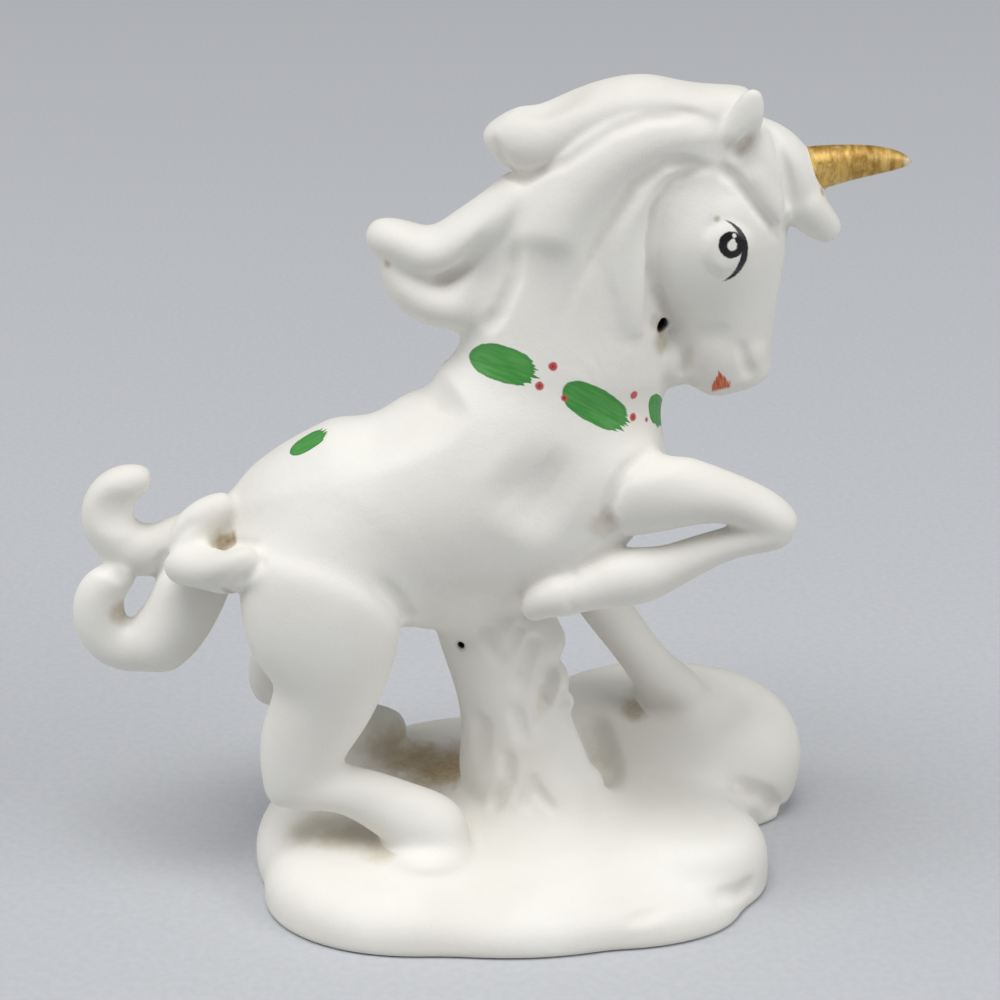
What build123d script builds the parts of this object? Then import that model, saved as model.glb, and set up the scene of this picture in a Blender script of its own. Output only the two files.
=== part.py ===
import os

from build123d import *

# Unicorn figurine in white bisque: hollow slip castings luted together on a cloud-shaped base.
# Millimetres. The base rests on Z = 0, the head looks along +X and the near side faces -Y.

# Shell of the castings
WALL = 2.6
HEAD_VENT = 1.7
TRUNK_VENT = 1.0
DRAIN_HOLE = 8.0

# Cloud base
BASE_LENGTH = 82.0
BASE_WIDTH = 58.0
BASE_RIM = 7.0
PAD_HEIGHT = 10.0
PAD_SLOPE = 7.5
RIDGE_HEIGHT = 18.5
RIDGE_SLOPE = 18.0
LOBE_HEIGHT = 10.0
LIP_HEIGHT = 5.5
TOE_HEIGHT = 8.5

# Barrel of the body
BODY_LENGTH = 62.0
BODY_DEPTH = 36.0
BODY_WIDTH = 30.0
BODY_SETBACK = 42.0
RUMP_HEIGHT = 53.5
BODY_RISE = 11.3

# Neck and head
NECK_LENGTH = 40.0
NECK_DEPTH = 30.0
NECK_WIDTH = 23.0
HEAD_LENGTH = 36.0
HEAD_DEPTH = 20.4
HEAD_WIDTH = 19.2
MUZZLE_LENGTH = 12.6
MUZZLE_DEPTH = 5.2
MUZZLE_WIDTH = 10.6
HORN_LENGTH = 16.0
HORN_DIAMETER = 6.4
EAR_LENGTH = 12.0
EAR_DEPTH = 4.9
EAR_WIDTH = 3.8

# Locks of the mane
DRAPE_LENGTH = 34.0
DRAPE_DEPTH = 14.0
DRAPE_WIDTH = 21.6
CREST_LENGTH = 34.0
CREST_DEPTH = 9.8
CREST_WIDTH = 12.8
NAPE_LENGTH = 24.0
NAPE_DEPTH = 8.0
NAPE_WIDTH = 14.0
CHEEK_LOCK_LENGTH = 26.0
CHEEK_LOCK_DEPTH = 8.0
CHEEK_LOCK_WIDTH = 4.8
FORELOCK_LENGTH = 20.0
FORELOCK_DEPTH = 7.2
FORELOCK_WIDTH = 11.2
TEMPLE_LENGTH = 15.0
TEMPLE_DEPTH = 6.2
TEMPLE_WIDTH = 5.0

# Legs
FOREARM_LENGTH = 28.0
FOREARM_DEPTH = 16.0
FOREARM_WIDTH = 10.0
SHANK_LENGTH = 36.0
SHANK_DEPTH = 8.2
SHANK_WIDTH = 7.6
FAR_FORELEG_BOW = 40.0
FAR_FORELEG_DEPTH = 11.2
FAR_FORELEG_WIDTH = 10.8
HOCK_BOW = 50.0
THIGH_DEPTH = 23.2
THIGH_WIDTH = 16.0
CANNON_DEPTH = 10.4
CANNON_WIDTH = 9.6

# Tree trunk under the belly
TRUNK_DEPTH = 17.4
TRUNK_WIDTH = 14.0
ROOT_DEPTH = 6.0
ROOT_WIDTH = 5.0

# Locks of the tail
TAIL_LENGTH = 24.0
TAIL_DEPTH = 10.0
TAIL_WIDTH = 9.0
TAIL_LOOP_LENGTH = 24.0
TAIL_LOOP_DEPTH = 10.4
TAIL_LOOP_WIDTH = 8.0
LOOP_STEP = 3
TAIL_SIDE_LENGTH = 12.0
TAIL_SIDE_DEPTH = 6.8
TAIL_SIDE_WIDTH = 5.2

ALONG = Vector(1, 0, 0)
ACROSS = Vector(0, 1, 0)

# Rounded pad of the base: height share, then outline share
dome_shares = [(0, 0.96), (0.25, 1), (0.55, 0.985), (0.8, 0.92), (0.94, 0.81), (1, 0.68)]
ridge_dome_shares = [(0, 0.9), (0.25, 0.975), (0.5, 1), (0.8, 0.93), (0.94, 0.81), (1, 0.68)]

# Pads of the base: centre along and across, then length and width, as shares of the base
pad_shares = (-0.037, -0.02, 0.91, 1.03)
ridge_shares = (0.25, 0.29, 0.54, 0.43)
lobe_shares = (0.285, -0.13, 0.29, 0.42)
lip_shares = (0.125, -0.285, 0.50, 0.415)
toe_shares = (-0.2, -0.225, 0.53, 0.6)

# Barrel from rump to chest: along, up, depth, width
body_shares = [
    (0.00, 0.00, 0.17, 0.23),
    (0.04, 0.03, 0.35, 0.53),
    (0.13, 0.07, 0.57, 0.82),
    (0.27, 0.12, 0.77, 0.97),
    (0.47, 0.34, 0.95, 0.99),
    (0.68, 0.63, 1.00, 1.00),
    (0.84, 0.84, 0.73, 0.90),
    (0.93, 0.98, 0.46, 0.60),
    (0.985, 1.04, 0.18, 0.25),
]

# Spines from here on: along, across, up, then depth and width of the section
neck_shares = [
    (0.000, 0, 0.000, 1.00, 1.00),
    (0.085, 0, 0.275, 0.93, 0.94),
    (0.150, 0, 0.540, 0.76, 0.82),
    (0.210, 0, 0.760, 0.61, 0.73),
    (0.325, 0, 0.925, 0.52, 0.64),
    (0.450, 0, 1.000, 0.43, 0.57),
]
head_shares = [
    (0.000, 0, 0.000, 0.44, 0.47),
    (0.014, 0, -0.100, 0.78, 0.75),
    (0.036, 0, -0.305, 1.00, 1.00),
    (0.060, 0, -0.515, 0.90, 0.92),
    (0.085, 0, -0.695, 0.73, 0.71),
    (0.105, 0, -0.835, 0.65, 0.63),
    (0.135, 0, -0.925, 0.51, 0.50),
    (0.155, 0, -0.970, 0.25, 0.25),
]
muzzle_shares = [
    (0.000, 0, 0.000, 0.35, 0.40),
    (0.100, 0, -0.020, 0.78, 0.80),
    (0.330, 0, -0.060, 1.00, 1.00),
    (0.600, 0, -0.050, 1.05, 1.05),
    (0.840, 0, 0.030, 0.90, 0.92),
    (0.970, 0, 0.080, 0.45, 0.50),
]
horn_shares = [
    (0.000, 0, 0.000, 1.00, 1.00),
    (0.190, 0, 0.045, 0.94, 0.94),
    (0.470, 0, 0.090, 0.76, 0.76),
    (0.775, 0, 0.110, 0.52, 0.52),
    (0.930, 0, 0.100, 0.27, 0.27),
    (0.990, 0, 0.090, 0.10, 0.10),
]
near_ear_shares = [
    (0.000, 0.00, 0.00, 0.78, 0.90),
    (0.115, -0.06, 0.29, 0.98, 1.00),
    (0.235, -0.11, 0.59, 1.00, 0.90),
    (0.315, -0.14, 0.84, 0.78, 0.68),
    (0.360, -0.16, 1.00, 0.29, 0.32),
]
far_ear_shares = [
    (0.000, 0.00, 0.00, 0.78, 0.90),
    (0.100, 0.10, 0.25, 0.98, 1.00),
    (0.200, 0.22, 0.48, 1.00, 0.90),
    (0.270, 0.31, 0.65, 0.78, 0.68),
    (0.310, 0.37, 0.76, 0.29, 0.32),
]
drape_shares = [
    (0.000, 0, 0.000, 0.64, 0.67),
    (-0.205, 0, -0.005, 0.86, 0.81),
    (-0.425, 0, -0.120, 1.00, 0.91),
    (-0.580, 0, -0.355, 1.00, 0.96),
    (-0.680, 0, -0.620, 1.00, 1.00),
    (-0.765, 0, -0.840, 0.86, 0.93),
    (-0.810, 0, -0.970, 0.43, 0.56),
]
crest_shares = [
    (0.000, 0, 0.000, 0.53, 0.78),
    (-0.147, 0, 0.050, 0.59, 0.94),
    (-0.310, 0, 0.070, 0.65, 0.97),
    (-0.500, 0, 0.030, 0.86, 1.00),
    (-0.660, 0, -0.040, 0.94, 0.97),
    (-0.810, 0, -0.090, 1.00, 0.88),
    (-0.905, 0, -0.070, 0.80, 0.69),
    (-0.970, 0, -0.045, 0.45, 0.41),
    (-0.990, 0, -0.030, 0.15, 0.14),
]
nape_upper_shares = [
    (0.040, 0, -0.060, 0.85, 0.93),
    (-0.165, 0, -0.100, 1.00, 0.93),
    (-0.325, 0, -0.210, 0.90, 0.86),
    (-0.485, 0, -0.315, 0.87, 0.79),
    (-0.640, 0, -0.380, 0.87, 0.71),
    (-0.805, 0, -0.335, 0.80, 0.60),
    (-0.935, 0, -0.285, 0.65, 0.43),
    (-1.010, 0, -0.255, 0.25, 0.17),
]
nape_lower_shares = [
    (-0.040, 0, -0.290, 1.10, 1.00),
    (-0.165, 0, -0.440, 1.15, 1.00),
    (-0.285, 0, -0.560, 1.10, 0.93),
    (-0.435, 0, -0.660, 1.10, 0.86),
    (-0.590, 0, -0.675, 0.90, 0.74),
    (-0.725, 0, -0.625, 0.82, 0.63),
    (-0.840, 0, -0.510, 0.60, 0.47),
    (-0.920, 0, -0.390, 0.30, 0.23),
]
cheek_lock_shares = [
    (0.000, 0.000, 0.000, 0.25, 0.83),
    (-0.190, -0.020, -0.045, 0.35, 0.83),
    (-0.310, -0.020, -0.160, 0.50, 0.90),
    (-0.390, -0.025, -0.325, 0.65, 0.95),
    (-0.425, -0.030, -0.520, 0.85, 0.95),
    (-0.440, -0.040, -0.730, 1.00, 0.85),
    (-0.440, -0.040, -0.920, 1.00, 0.60),
]
forelock_shares = [
    (0.000, 0, -0.030, 0.55, 0.80),
    (0.220, 0, -0.120, 0.68, 0.95),
    (0.400, 0, -0.310, 0.92, 0.96),
    (0.510, 0, -0.560, 0.89, 0.82),
    (0.625, 0, -0.700, 0.72, 0.57),
    (0.725, 0, -0.770, 0.31, 0.25),
]
temple_shares = [
    (0.000, 0.000, 0.000, 0.97, 1.00),
    (0.140, -0.067, -0.265, 1.00, 0.96),
    (0.235, -0.067, -0.520, 0.84, 0.88),
    (0.335, -0.035, -0.745, 0.58, 0.68),
    (0.405, 0.000, -0.900, 0.23, 0.32),
]
forearm_shares = [
    (0.000, 0.000, 0.000, 1.00, 1.00),
    (0.215, -0.125, 0.075, 0.74, 1.00),
    (0.410, -0.180, 0.110, 0.67, 0.92),
    (0.605, -0.195, 0.095, 0.495, 0.84),
    (0.785, -0.195, 0.042, 0.405, 0.74),
    (0.930, -0.195, -0.045, 0.36, 0.64),
    (1.005, -0.195, -0.095, 0.19, 0.34),
]
shank_shares = [
    (0.000, 0, 0.000, 0.39, 0.47),
    (-0.045, 0, -0.030, 0.68, 0.79),
    (-0.160, 0, -0.071, 0.57, 0.71),
    (-0.295, 0, -0.117, 0.61, 0.74),
    (-0.430, 0, -0.178, 0.75, 0.84),
    (-0.540, 0, -0.216, 0.95, 1.00),
    (-0.655, 0, -0.243, 0.92, 0.95),
    (-0.755, 0, -0.270, 0.80, 0.89),
    (-0.855, 0, -0.295, 0.78, 0.92),
    (-0.935, 0, -0.315, 0.66, 0.79),
    (-0.995, 0, -0.335, 0.32, 0.42),
]
tail_shares = [
    (0.000, 0.00, 0.000, 1.00, 1.00),
    (-0.200, 0.00, -0.030, 0.94, 0.96),
    (-0.345, 0.02, -0.088, 0.86, 0.90),
    (-0.480, 0.04, -0.138, 0.80, 0.86),
    (-0.600, 0.04, -0.176, 0.77, 0.84),
    (-0.725, 0.04, -0.184, 0.76, 0.82),
    (-0.855, 0.04, -0.118, 0.75, 0.80),
    (-0.918, 0.04, 0.010, 0.74, 0.78),
    (-0.905, 0.04, 0.112, 0.71, 0.75),
    (-0.848, 0.04, 0.198, 0.63, 0.70),
    (-0.765, 0.04, 0.246, 0.52, 0.60),
    (-0.695, 0.04, 0.264, 0.39, 0.46),
    (-0.650, 0.04, 0.268, 0.18, 0.22),
]
tail_loop_shares = [
    (0.000, 0.000, 0.000, 0.60, 0.75),
    (-0.085, -0.030, -0.145, 0.78, 0.92),
    (-0.170, -0.055, -0.290, 0.88, 0.96),
    (-0.260, -0.064, -0.437, 0.92, 0.96),
    (-0.365, -0.064, -0.588, 0.88, 0.93),
    (-0.487, -0.064, -0.697, 0.81, 0.89),
    (-0.627, -0.064, -0.724, 0.76, 0.85),
    (-0.748, -0.064, -0.645, 0.73, 0.81),
    (-0.786, -0.064, -0.492, 0.71, 0.77),
    (-0.742, -0.064, -0.360, 0.63, 0.69),
    (-0.650, -0.064, -0.288, 0.49, 0.55),
    (-0.575, -0.064, -0.263, 0.28, 0.32),
]
tail_side_shares = [
    (0.000, 0.000, 0.000, 0.65, 0.85),
    (-0.300, -0.085, -0.140, 0.82, 0.92),
    (-0.500, -0.165, -0.340, 0.85, 0.92),
    (-0.560, -0.250, -0.560, 0.76, 0.88),
    (-0.520, -0.290, -0.730, 0.35, 0.46),
]
tail_tip_shares = [
    (-0.700, -0.210, -0.500, 0.41, 0.54),
    (-0.550, -0.285, -0.590, 0.85, 0.92),
    (-0.290, -0.450, -0.640, 1.00, 1.00),
    (-0.045, -0.670, -0.615, 0.96, 1.00),
    (0.210, -0.890, -0.535, 0.82, 0.88),
    (0.380, -1.010, -0.465, 0.54, 0.62),
    (0.455, -1.060, -0.430, 0.22, 0.28),
]

# Legs and trunk held at both ends: way from end to end, bow along, bow outward, then depth and width
near_thigh_shares = [
    (-0.070, -0.02, -0.010, 0.35, 0.40),
    (0.030, -0.04, 0.020, 0.76, 0.80),
    (0.125, -0.08, 0.038, 0.97, 0.98),
    (0.240, -0.12, 0.046, 0.97, 1.00),
    (0.380, -0.16, 0.042, 0.845, 0.875),
    (0.515, -0.22, 0.028, 0.63, 0.725),
    (0.640, -0.32, 0.016, 0.55, 0.625),
    (0.735, -0.38, 0.006, 0.465, 0.575),
    (0.805, -0.42, 0.000, 0.36, 0.50),
    (0.855, -0.44, 0.000, 0.17, 0.275),
]
near_cannon_shares = [
    (0.755, -0.44, 0.00, 0.46, 0.50),
    (0.780, -0.39, 0.00, 0.81, 0.875),
    (0.800, -0.29, 0.00, 0.69, 0.77),
    (0.825, -0.22, 0.00, 0.75, 0.81),
    (0.870, -0.15, 0.00, 0.885, 0.90),
    (0.915, -0.085, 0.00, 1.00, 1.00),
    (0.965, -0.04, 0.00, 0.885, 0.96),
    (1.000, 0.00, 0.00, 0.50, 0.625),
]
far_thigh_shares = [
    (-0.070, -0.02, -0.010, 0.35, 0.40),
    (0.030, -0.04, 0.020, 0.76, 0.80),
    (0.140, -0.06, 0.030, 0.95, 0.965),
    (0.285, -0.10, 0.030, 0.915, 0.95),
    (0.435, -0.15, 0.015, 0.735, 0.81),
    (0.590, -0.24, -0.010, 0.52, 0.625),
    (0.710, -0.32, -0.035, 0.40, 0.525),
    (0.785, -0.355, -0.050, 0.31, 0.45),
    (0.845, -0.365, -0.055, 0.155, 0.25),
]
far_cannon_shares = [
    (0.755, -0.375, -0.043, 0.385, 0.42),
    (0.800, -0.310, -0.045, 0.69, 0.75),
    (0.895, -0.215, -0.045, 0.67, 0.73),
    (0.980, -0.130, -0.037, 0.81, 0.83),
    (0.995, -0.055, -0.020, 0.69, 0.79),
    (1.000, 0.000, 0.000, 0.42, 0.54),
]
far_foreleg_shares = [
    (0.000, 0.000, 0.000, 1.05, 0.83),
    (0.275, -0.060, 0.040, 0.77, 0.74),
    (0.510, -0.060, 0.035, 0.63, 0.65),
    (0.670, -0.035, 0.030, 0.61, 0.63),
    (0.820, -0.010, 0.020, 0.70, 0.70),
    (0.930, 0.010, 0.010, 0.93, 0.93),
    (1.000, 0.000, 0.000, 1.00, 1.00),
]
root_shares = [
    (0.00, 0.00, 0, 0.35, 0.40),
    (0.22, 0.06, 0, 0.75, 0.80),
    (0.62, 0.03, 0, 0.95, 0.95),
    (1.00, 0.00, 0, 1.20, 1.20),
]
trunk_shares = [
    (0.00, 0.000, 0, 1.13, 1.14),
    (0.11, -0.030, 0, 0.97, 1.03),
    (0.27, -0.050, 0, 0.91, 0.94),
    (0.44, -0.035, 0, 0.83, 0.89),
    (0.56, -0.060, 0, 0.79, 0.89),
    (0.68, -0.050, 0, 0.92, 0.94),
    (0.80, -0.050, 0, 1.00, 1.00),
    (1.00, 0.000, 0, 0.98, 0.93),
]


# Places on a neighbour: shares of its length, width and depth, or of the base
neck_root_share = (0.03, 0, 0.15)
belly_share = (-0.075, 0, -0.41)
near_shoulder_share = (-0.03, -0.2, -0.115)
far_shoulder_share = (-0.09, 0.235, -0.25)
near_hip_share = (-0.03, -0.265, 0.03)
far_hip_share = (-0.03, 0.265, 0.03)
tail_share = (0.025, 0, -0.02)
tail_side_share = (-0.032, -0.117, 0.103)
crown_share = (0.117, 0, 0.0625)
nape_share = (-0.28, 0, 0.14)
muzzle_share = (-0.3, 0, -0.052)
horn_share = (0.59, 0, -0.03)
forelock_share = (0.17, 0, 0.075)
temple_share = (0.245, -0.21, 0.03)
near_ear_share = (0.083, -0.286, -0.11)
far_ear_share = (0.083, 0.286, -0.11)
crest_share = (0.22, 0, 0.078)
drape_share = (0.025, 0, 0.028)
cheek_lock_share = (-0.025, -0.34, -0.04)
knee_share = 0.035
trunk_root_share = (0, 0, 0.5)
root_top_shares = [(0.43, -0.05, 4), (0.28, -0.32, 2), (-0.06, -0.40, 2), (0.20, 0.34, 3)]
root_foot_shares = [(0.66, -0.06), (0.44, -0.52), (-0.10, -0.62), (0.30, 0.56)]
far_forefoot_share = (0.288, 0.265, 0.88)
near_hoof_share = (-0.112, -0.225, 0.76)
far_hoof_share = (-0.23, 0.27, 1.38)
drain_share = (-0.2, 0.1, 0)
head_vent_way = Vector(-0.8, -0.6, 0)
trunk_vent_way = Vector(-0.6, -0.8, 0)


def placed(origin, share, length, width, depth):
    """A place set off from a point by shares of a neighbour's sizes."""
    return origin + Vector(share[0] * length, share[1] * width, share[2] * depth)


def free_spine(start, shares, length):
    """Points of a lock or limb that runs out from one end."""
    return [start + Vector(a * length, b * length, c * length) for a, b, c, _, _ in shares]


def held_spine(start, end, shares, bow, side):
    """Points of a limb held at both ends and bowed between them."""
    reach = end - start
    return [start + reach * way + ALONG * (fore * bow) + ACROSS * (out * bow * side)
            for way, fore, out, _, _ in shares]


def sections(points, shares, depth, width, inset=0):
    """Ellipses square to a smooth curve through the points, drawn in by the inset."""
    with BuildLine() as spine:
        Spline(*points)
    drawn = []
    for point, row in zip(points, shares):
        heading = spine.edge().tangent_at(point)
        with BuildSketch(Plane(point, x_dir=ACROSS.cross(heading), z_dir=heading)) as section:
            Ellipse(row[-2] * depth / 2 - inset, row[-1] * width / 2 - inset)
        drawn.append(section.sketch)
    return drawn


def pad_sections(shares, dome, height, slope, inset=0, rim=0):
    """Level ellipses of one rounded pad, the upper ones tipped up at the back."""
    along, across, length, width = shares
    drawn = []
    for rise, spread in dome:
        middle = (along * BASE_LENGTH, across * BASE_WIDTH, inset + rise * (height - 2 * inset))
        level = Plane(middle).rotated((rise * slope, 0, 0))
        with BuildSketch(level) as section:
            Ellipse(spread * length * BASE_LENGTH / 2 - rim, spread * width * BASE_WIDTH / 2 - rim)
        drawn.append(section.sketch)
    return drawn


# Spines of the body, neck, head and trunk, from which the other pieces take their places
rump = Vector(-BODY_SETBACK, 0, RUMP_HEIGHT)
body_points = [rump + Vector(a * BODY_LENGTH, 0, c * BODY_RISE) for a, c, _, _ in body_shares]
_, croup, _, loin, _, barrel, chest, _, _ = body_points
neck_points = free_spine(placed(barrel, neck_root_share, BODY_LENGTH, BODY_WIDTH, BODY_DEPTH),
                         neck_shares, NECK_LENGTH)
crown = placed(neck_points[-1], crown_share, NECK_DEPTH, NECK_WIDTH, NECK_LENGTH)
head_points = free_spine(crown, head_shares, HEAD_LENGTH)
belly = placed(barrel, belly_share, BODY_LENGTH, BODY_WIDTH, BODY_DEPTH)
trunk_root = placed(Vector(0, 0, 0), trunk_root_share, BASE_LENGTH, BASE_WIDTH, PAD_HEIGHT)
trunk_points = held_spine(trunk_root, belly, trunk_shares, TRUNK_DEPTH, 1)

# Hollows of the castings
body_hollow = sections(body_points[1:-1], body_shares[1:-1], BODY_DEPTH, BODY_WIDTH, WALL)
neck_hollow = sections(neck_points, neck_shares, NECK_DEPTH, NECK_WIDTH, WALL)
head_hollow = sections(head_points[1:-1], head_shares[1:-1], HEAD_DEPTH, HEAD_WIDTH, WALL)
trunk_hollow = sections(trunk_points, trunk_shares, TRUNK_DEPTH, TRUNK_WIDTH, WALL)

# Outer forms, each a whole loft that its neighbours are seated against
with BuildPart() as base_form:
    loft(sections=pad_sections(pad_shares, dome_shares, PAD_HEIGHT, PAD_SLOPE))
    loft(sections=pad_sections(ridge_shares, ridge_dome_shares, RIDGE_HEIGHT, RIDGE_SLOPE))
    loft(sections=pad_sections(lobe_shares, dome_shares, LOBE_HEIGHT, 0))
    loft(sections=pad_sections(lip_shares, dome_shares, LIP_HEIGHT, 0))
    loft(sections=pad_sections(toe_shares, dome_shares, TOE_HEIGHT, PAD_SLOPE))
with BuildPart() as body_form:
    loft(sections=sections(body_points, body_shares, BODY_DEPTH, BODY_WIDTH))
with BuildPart() as trunk_form:
    loft(sections=sections(trunk_points, trunk_shares, TRUNK_DEPTH, TRUNK_WIDTH))
    for (fore, out, level), (foot_fore, foot_out) in zip(root_top_shares, root_foot_shares):
        top = trunk_points[level] + ALONG * (fore * TRUNK_DEPTH) + ACROSS * (out * TRUNK_WIDTH)
        foot = trunk_points[0] + ALONG * (foot_fore * TRUNK_DEPTH) + ACROSS * (foot_out * TRUNK_WIDTH)
        points = held_spine(top, foot, root_shares, TRUNK_DEPTH, 1)
        loft(sections=sections(points, root_shares, ROOT_DEPTH, ROOT_WIDTH))
with BuildPart() as neck_form:
    loft(sections=sections(neck_points, neck_shares, NECK_DEPTH, NECK_WIDTH))
with BuildPart() as head_form:
    loft(sections=sections(head_points, head_shares, HEAD_DEPTH, HEAD_WIDTH))
    start = placed(head_points[5], muzzle_share, HEAD_DEPTH, HEAD_WIDTH, HEAD_LENGTH)
    points = free_spine(start, muzzle_shares, MUZZLE_LENGTH)
    loft(sections=sections(points, muzzle_shares, MUZZLE_DEPTH, MUZZLE_WIDTH))

# Mane: the broad drape, the lock swept back along the crest, the two-banded lock behind the nape
# and the flat locks behind the cheeks
with BuildPart() as drape_form:
    start = placed(crown, drape_share, HEAD_DEPTH, HEAD_WIDTH, HEAD_LENGTH)
    points = free_spine(start, drape_shares, DRAPE_LENGTH)
    loft(sections=sections(points, drape_shares, DRAPE_DEPTH, DRAPE_WIDTH))
with BuildPart() as crest_form:
    start = placed(crown, crest_share, HEAD_DEPTH, HEAD_WIDTH, HEAD_LENGTH)
    points = free_spine(start, crest_shares, CREST_LENGTH)
    loft(sections=sections(points, crest_shares, CREST_DEPTH, CREST_WIDTH))
with BuildPart() as nape_form:
    start = placed(neck_points[3], nape_share, NECK_DEPTH, NECK_WIDTH, NECK_LENGTH)
    for band_shares in (nape_upper_shares, nape_lower_shares):
        points = free_spine(start, band_shares, NAPE_LENGTH)
        loft(sections=sections(points, band_shares, NAPE_DEPTH, NAPE_WIDTH))
with BuildPart() as cheek_form:
    start = placed(crown, cheek_lock_share, HEAD_DEPTH, HEAD_WIDTH, HEAD_LENGTH)
    points = free_spine(start, cheek_lock_shares, CHEEK_LOCK_LENGTH)
    loft(sections=sections(points, cheek_lock_shares, CHEEK_LOCK_DEPTH, CHEEK_LOCK_WIDTH))
    mirror(about=Plane.XZ)

# Forelock: a strand down each temple and the middle strand that carries the horn
with BuildPart() as forelock_form:
    start = placed(crown, temple_share, HEAD_DEPTH, HEAD_WIDTH, HEAD_LENGTH)
    points = free_spine(start, temple_shares, TEMPLE_LENGTH)
    loft(sections=sections(points, temple_shares, TEMPLE_DEPTH, TEMPLE_WIDTH))
    mirror(about=Plane.XZ)
    start = placed(crown, forelock_share, HEAD_DEPTH, HEAD_WIDTH, HEAD_LENGTH)
    points = free_spine(start, forelock_shares, FORELOCK_LENGTH)
    loft(sections=sections(points, forelock_shares, FORELOCK_DEPTH, FORELOCK_WIDTH))

# Hind legs, from haunch to hock and from hock to hoof
with BuildPart() as hind_near_form:
    start = placed(loin, near_hip_share, BODY_LENGTH, BODY_WIDTH, BODY_DEPTH)
    hoof = placed(Vector(0, 0, 0), near_hoof_share, BASE_LENGTH, BASE_WIDTH, PAD_HEIGHT)
    points = held_spine(start, hoof, near_thigh_shares, HOCK_BOW, -1)
    loft(sections=sections(points, near_thigh_shares, THIGH_DEPTH, THIGH_WIDTH))
    points = held_spine(start, hoof, near_cannon_shares, HOCK_BOW, -1)
    loft(sections=sections(points, near_cannon_shares, CANNON_DEPTH, CANNON_WIDTH))
with BuildPart() as hind_far_form:
    start = placed(loin, far_hip_share, BODY_LENGTH, BODY_WIDTH, BODY_DEPTH)
    hoof = placed(Vector(0, 0, 0), far_hoof_share, BASE_LENGTH, BASE_WIDTH, PAD_HEIGHT)
    points = held_spine(start, hoof, far_thigh_shares, HOCK_BOW, 1)
    loft(sections=sections(points, far_thigh_shares, THIGH_DEPTH, THIGH_WIDTH))
    points = held_spine(start, hoof, far_cannon_shares, HOCK_BOW, 1)
    loft(sections=sections(points, far_cannon_shares, CANNON_DEPTH, CANNON_WIDTH))

# Tail: the upper curl, and the loop below it, lofted in short lengths round its bends
with BuildPart() as tail_form:
    start = placed(croup, tail_share, BODY_LENGTH, BODY_WIDTH, BODY_DEPTH)
    tail_points = free_spine(start, tail_shares, TAIL_LENGTH)
    loft(sections=sections(tail_points, tail_shares, TAIL_DEPTH, TAIL_WIDTH))
with BuildPart() as loop_form:
    points = free_spine(tail_points[1], tail_loop_shares, TAIL_LOOP_LENGTH)
    rings = sections(points, tail_loop_shares, TAIL_LOOP_DEPTH, TAIL_LOOP_WIDTH)
    for first in range(0, len(rings) - 1, LOOP_STEP):
        loft(sections=rings[first:first + LOOP_STEP + 1])

# Cloud base, hollow, with a drain hole in the flat underside
with BuildPart() as base:
    add(base_form.part)
    pad_hollow = pad_sections(pad_shares, dome_shares, PAD_HEIGHT, PAD_SLOPE, WALL, BASE_RIM)
    loft(sections=pad_hollow, mode=Mode.SUBTRACT)
    ridge_hollow = pad_sections(ridge_shares, ridge_dome_shares, RIDGE_HEIGHT, RIDGE_SLOPE, WALL, BASE_RIM)
    loft(sections=ridge_hollow, mode=Mode.SUBTRACT)
    with BuildSketch(Plane(placed(Vector(0, 0, 0), drain_share, BASE_LENGTH, BASE_WIDTH, PAD_HEIGHT))):
        Circle(DRAIN_HOLE / 2)
    extrude(amount=2 * WALL, mode=Mode.SUBTRACT)

# Body, open inside to the neck and to the trunk
with BuildPart() as torso:
    add(body_form.part)
    loft(sections=body_hollow, mode=Mode.SUBTRACT)
    loft(sections=neck_hollow, mode=Mode.SUBTRACT)
    loft(sections=trunk_hollow, mode=Mode.SUBTRACT)

# Tree trunk between the base and the belly, with its firing vent
with BuildPart() as tree_trunk:
    add(trunk_form.part)
    loft(sections=trunk_hollow, mode=Mode.SUBTRACT)
    for seat in (body_form, base_form):
        add(seat.part, mode=Mode.SUBTRACT)
    with BuildSketch(Plane(trunk_points[-2], z_dir=trunk_vent_way)):
        Circle(TRUNK_VENT / 2)
    extrude(amount=TRUNK_DEPTH, mode=Mode.SUBTRACT)

# Neck seated on the body
with BuildPart() as neck:
    add(neck_form.part)
    loft(sections=neck_hollow, mode=Mode.SUBTRACT)
    add(body_form.part, mode=Mode.SUBTRACT)

# Head seated on the neck, with the firing vent behind the jaw
with BuildPart() as head:
    add(head_form.part)
    loft(sections=head_hollow, mode=Mode.SUBTRACT)
    add(neck_form.part, mode=Mode.SUBTRACT)
    with BuildSketch(Plane(head_points[4], z_dir=head_vent_way)):
        Circle(HEAD_VENT / 2)
    extrude(amount=HEAD_DEPTH, mode=Mode.SUBTRACT)

# Mane seated on the neck, head and body
with BuildPart() as mane_drape:
    add(drape_form.part)
    for seat in (neck_form, head_form, body_form):
        add(seat.part, mode=Mode.SUBTRACT)
with BuildPart() as crest_lock:
    add(crest_form.part)
    for seat in (neck_form, head_form, drape_form):
        add(seat.part, mode=Mode.SUBTRACT)
with BuildPart() as nape_lock:
    add(nape_form.part)
    for seat in (neck_form, body_form, drape_form, crest_form):
        add(seat.part, mode=Mode.SUBTRACT)
with BuildPart() as cheek_lock_near:
    add(cheek_form.part)
    split(bisect_by=Plane.XZ, keep=Keep.TOP)
    for seat in (neck_form, head_form, drape_form, crest_form):
        add(seat.part, mode=Mode.SUBTRACT)
with BuildPart() as cheek_lock_far:
    mirror(cheek_lock_near.part, about=Plane.XZ)
with BuildPart() as forelock:
    add(forelock_form.part)
    for seat in (head_form, drape_form, crest_form):
        add(seat.part, mode=Mode.SUBTRACT)

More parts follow.
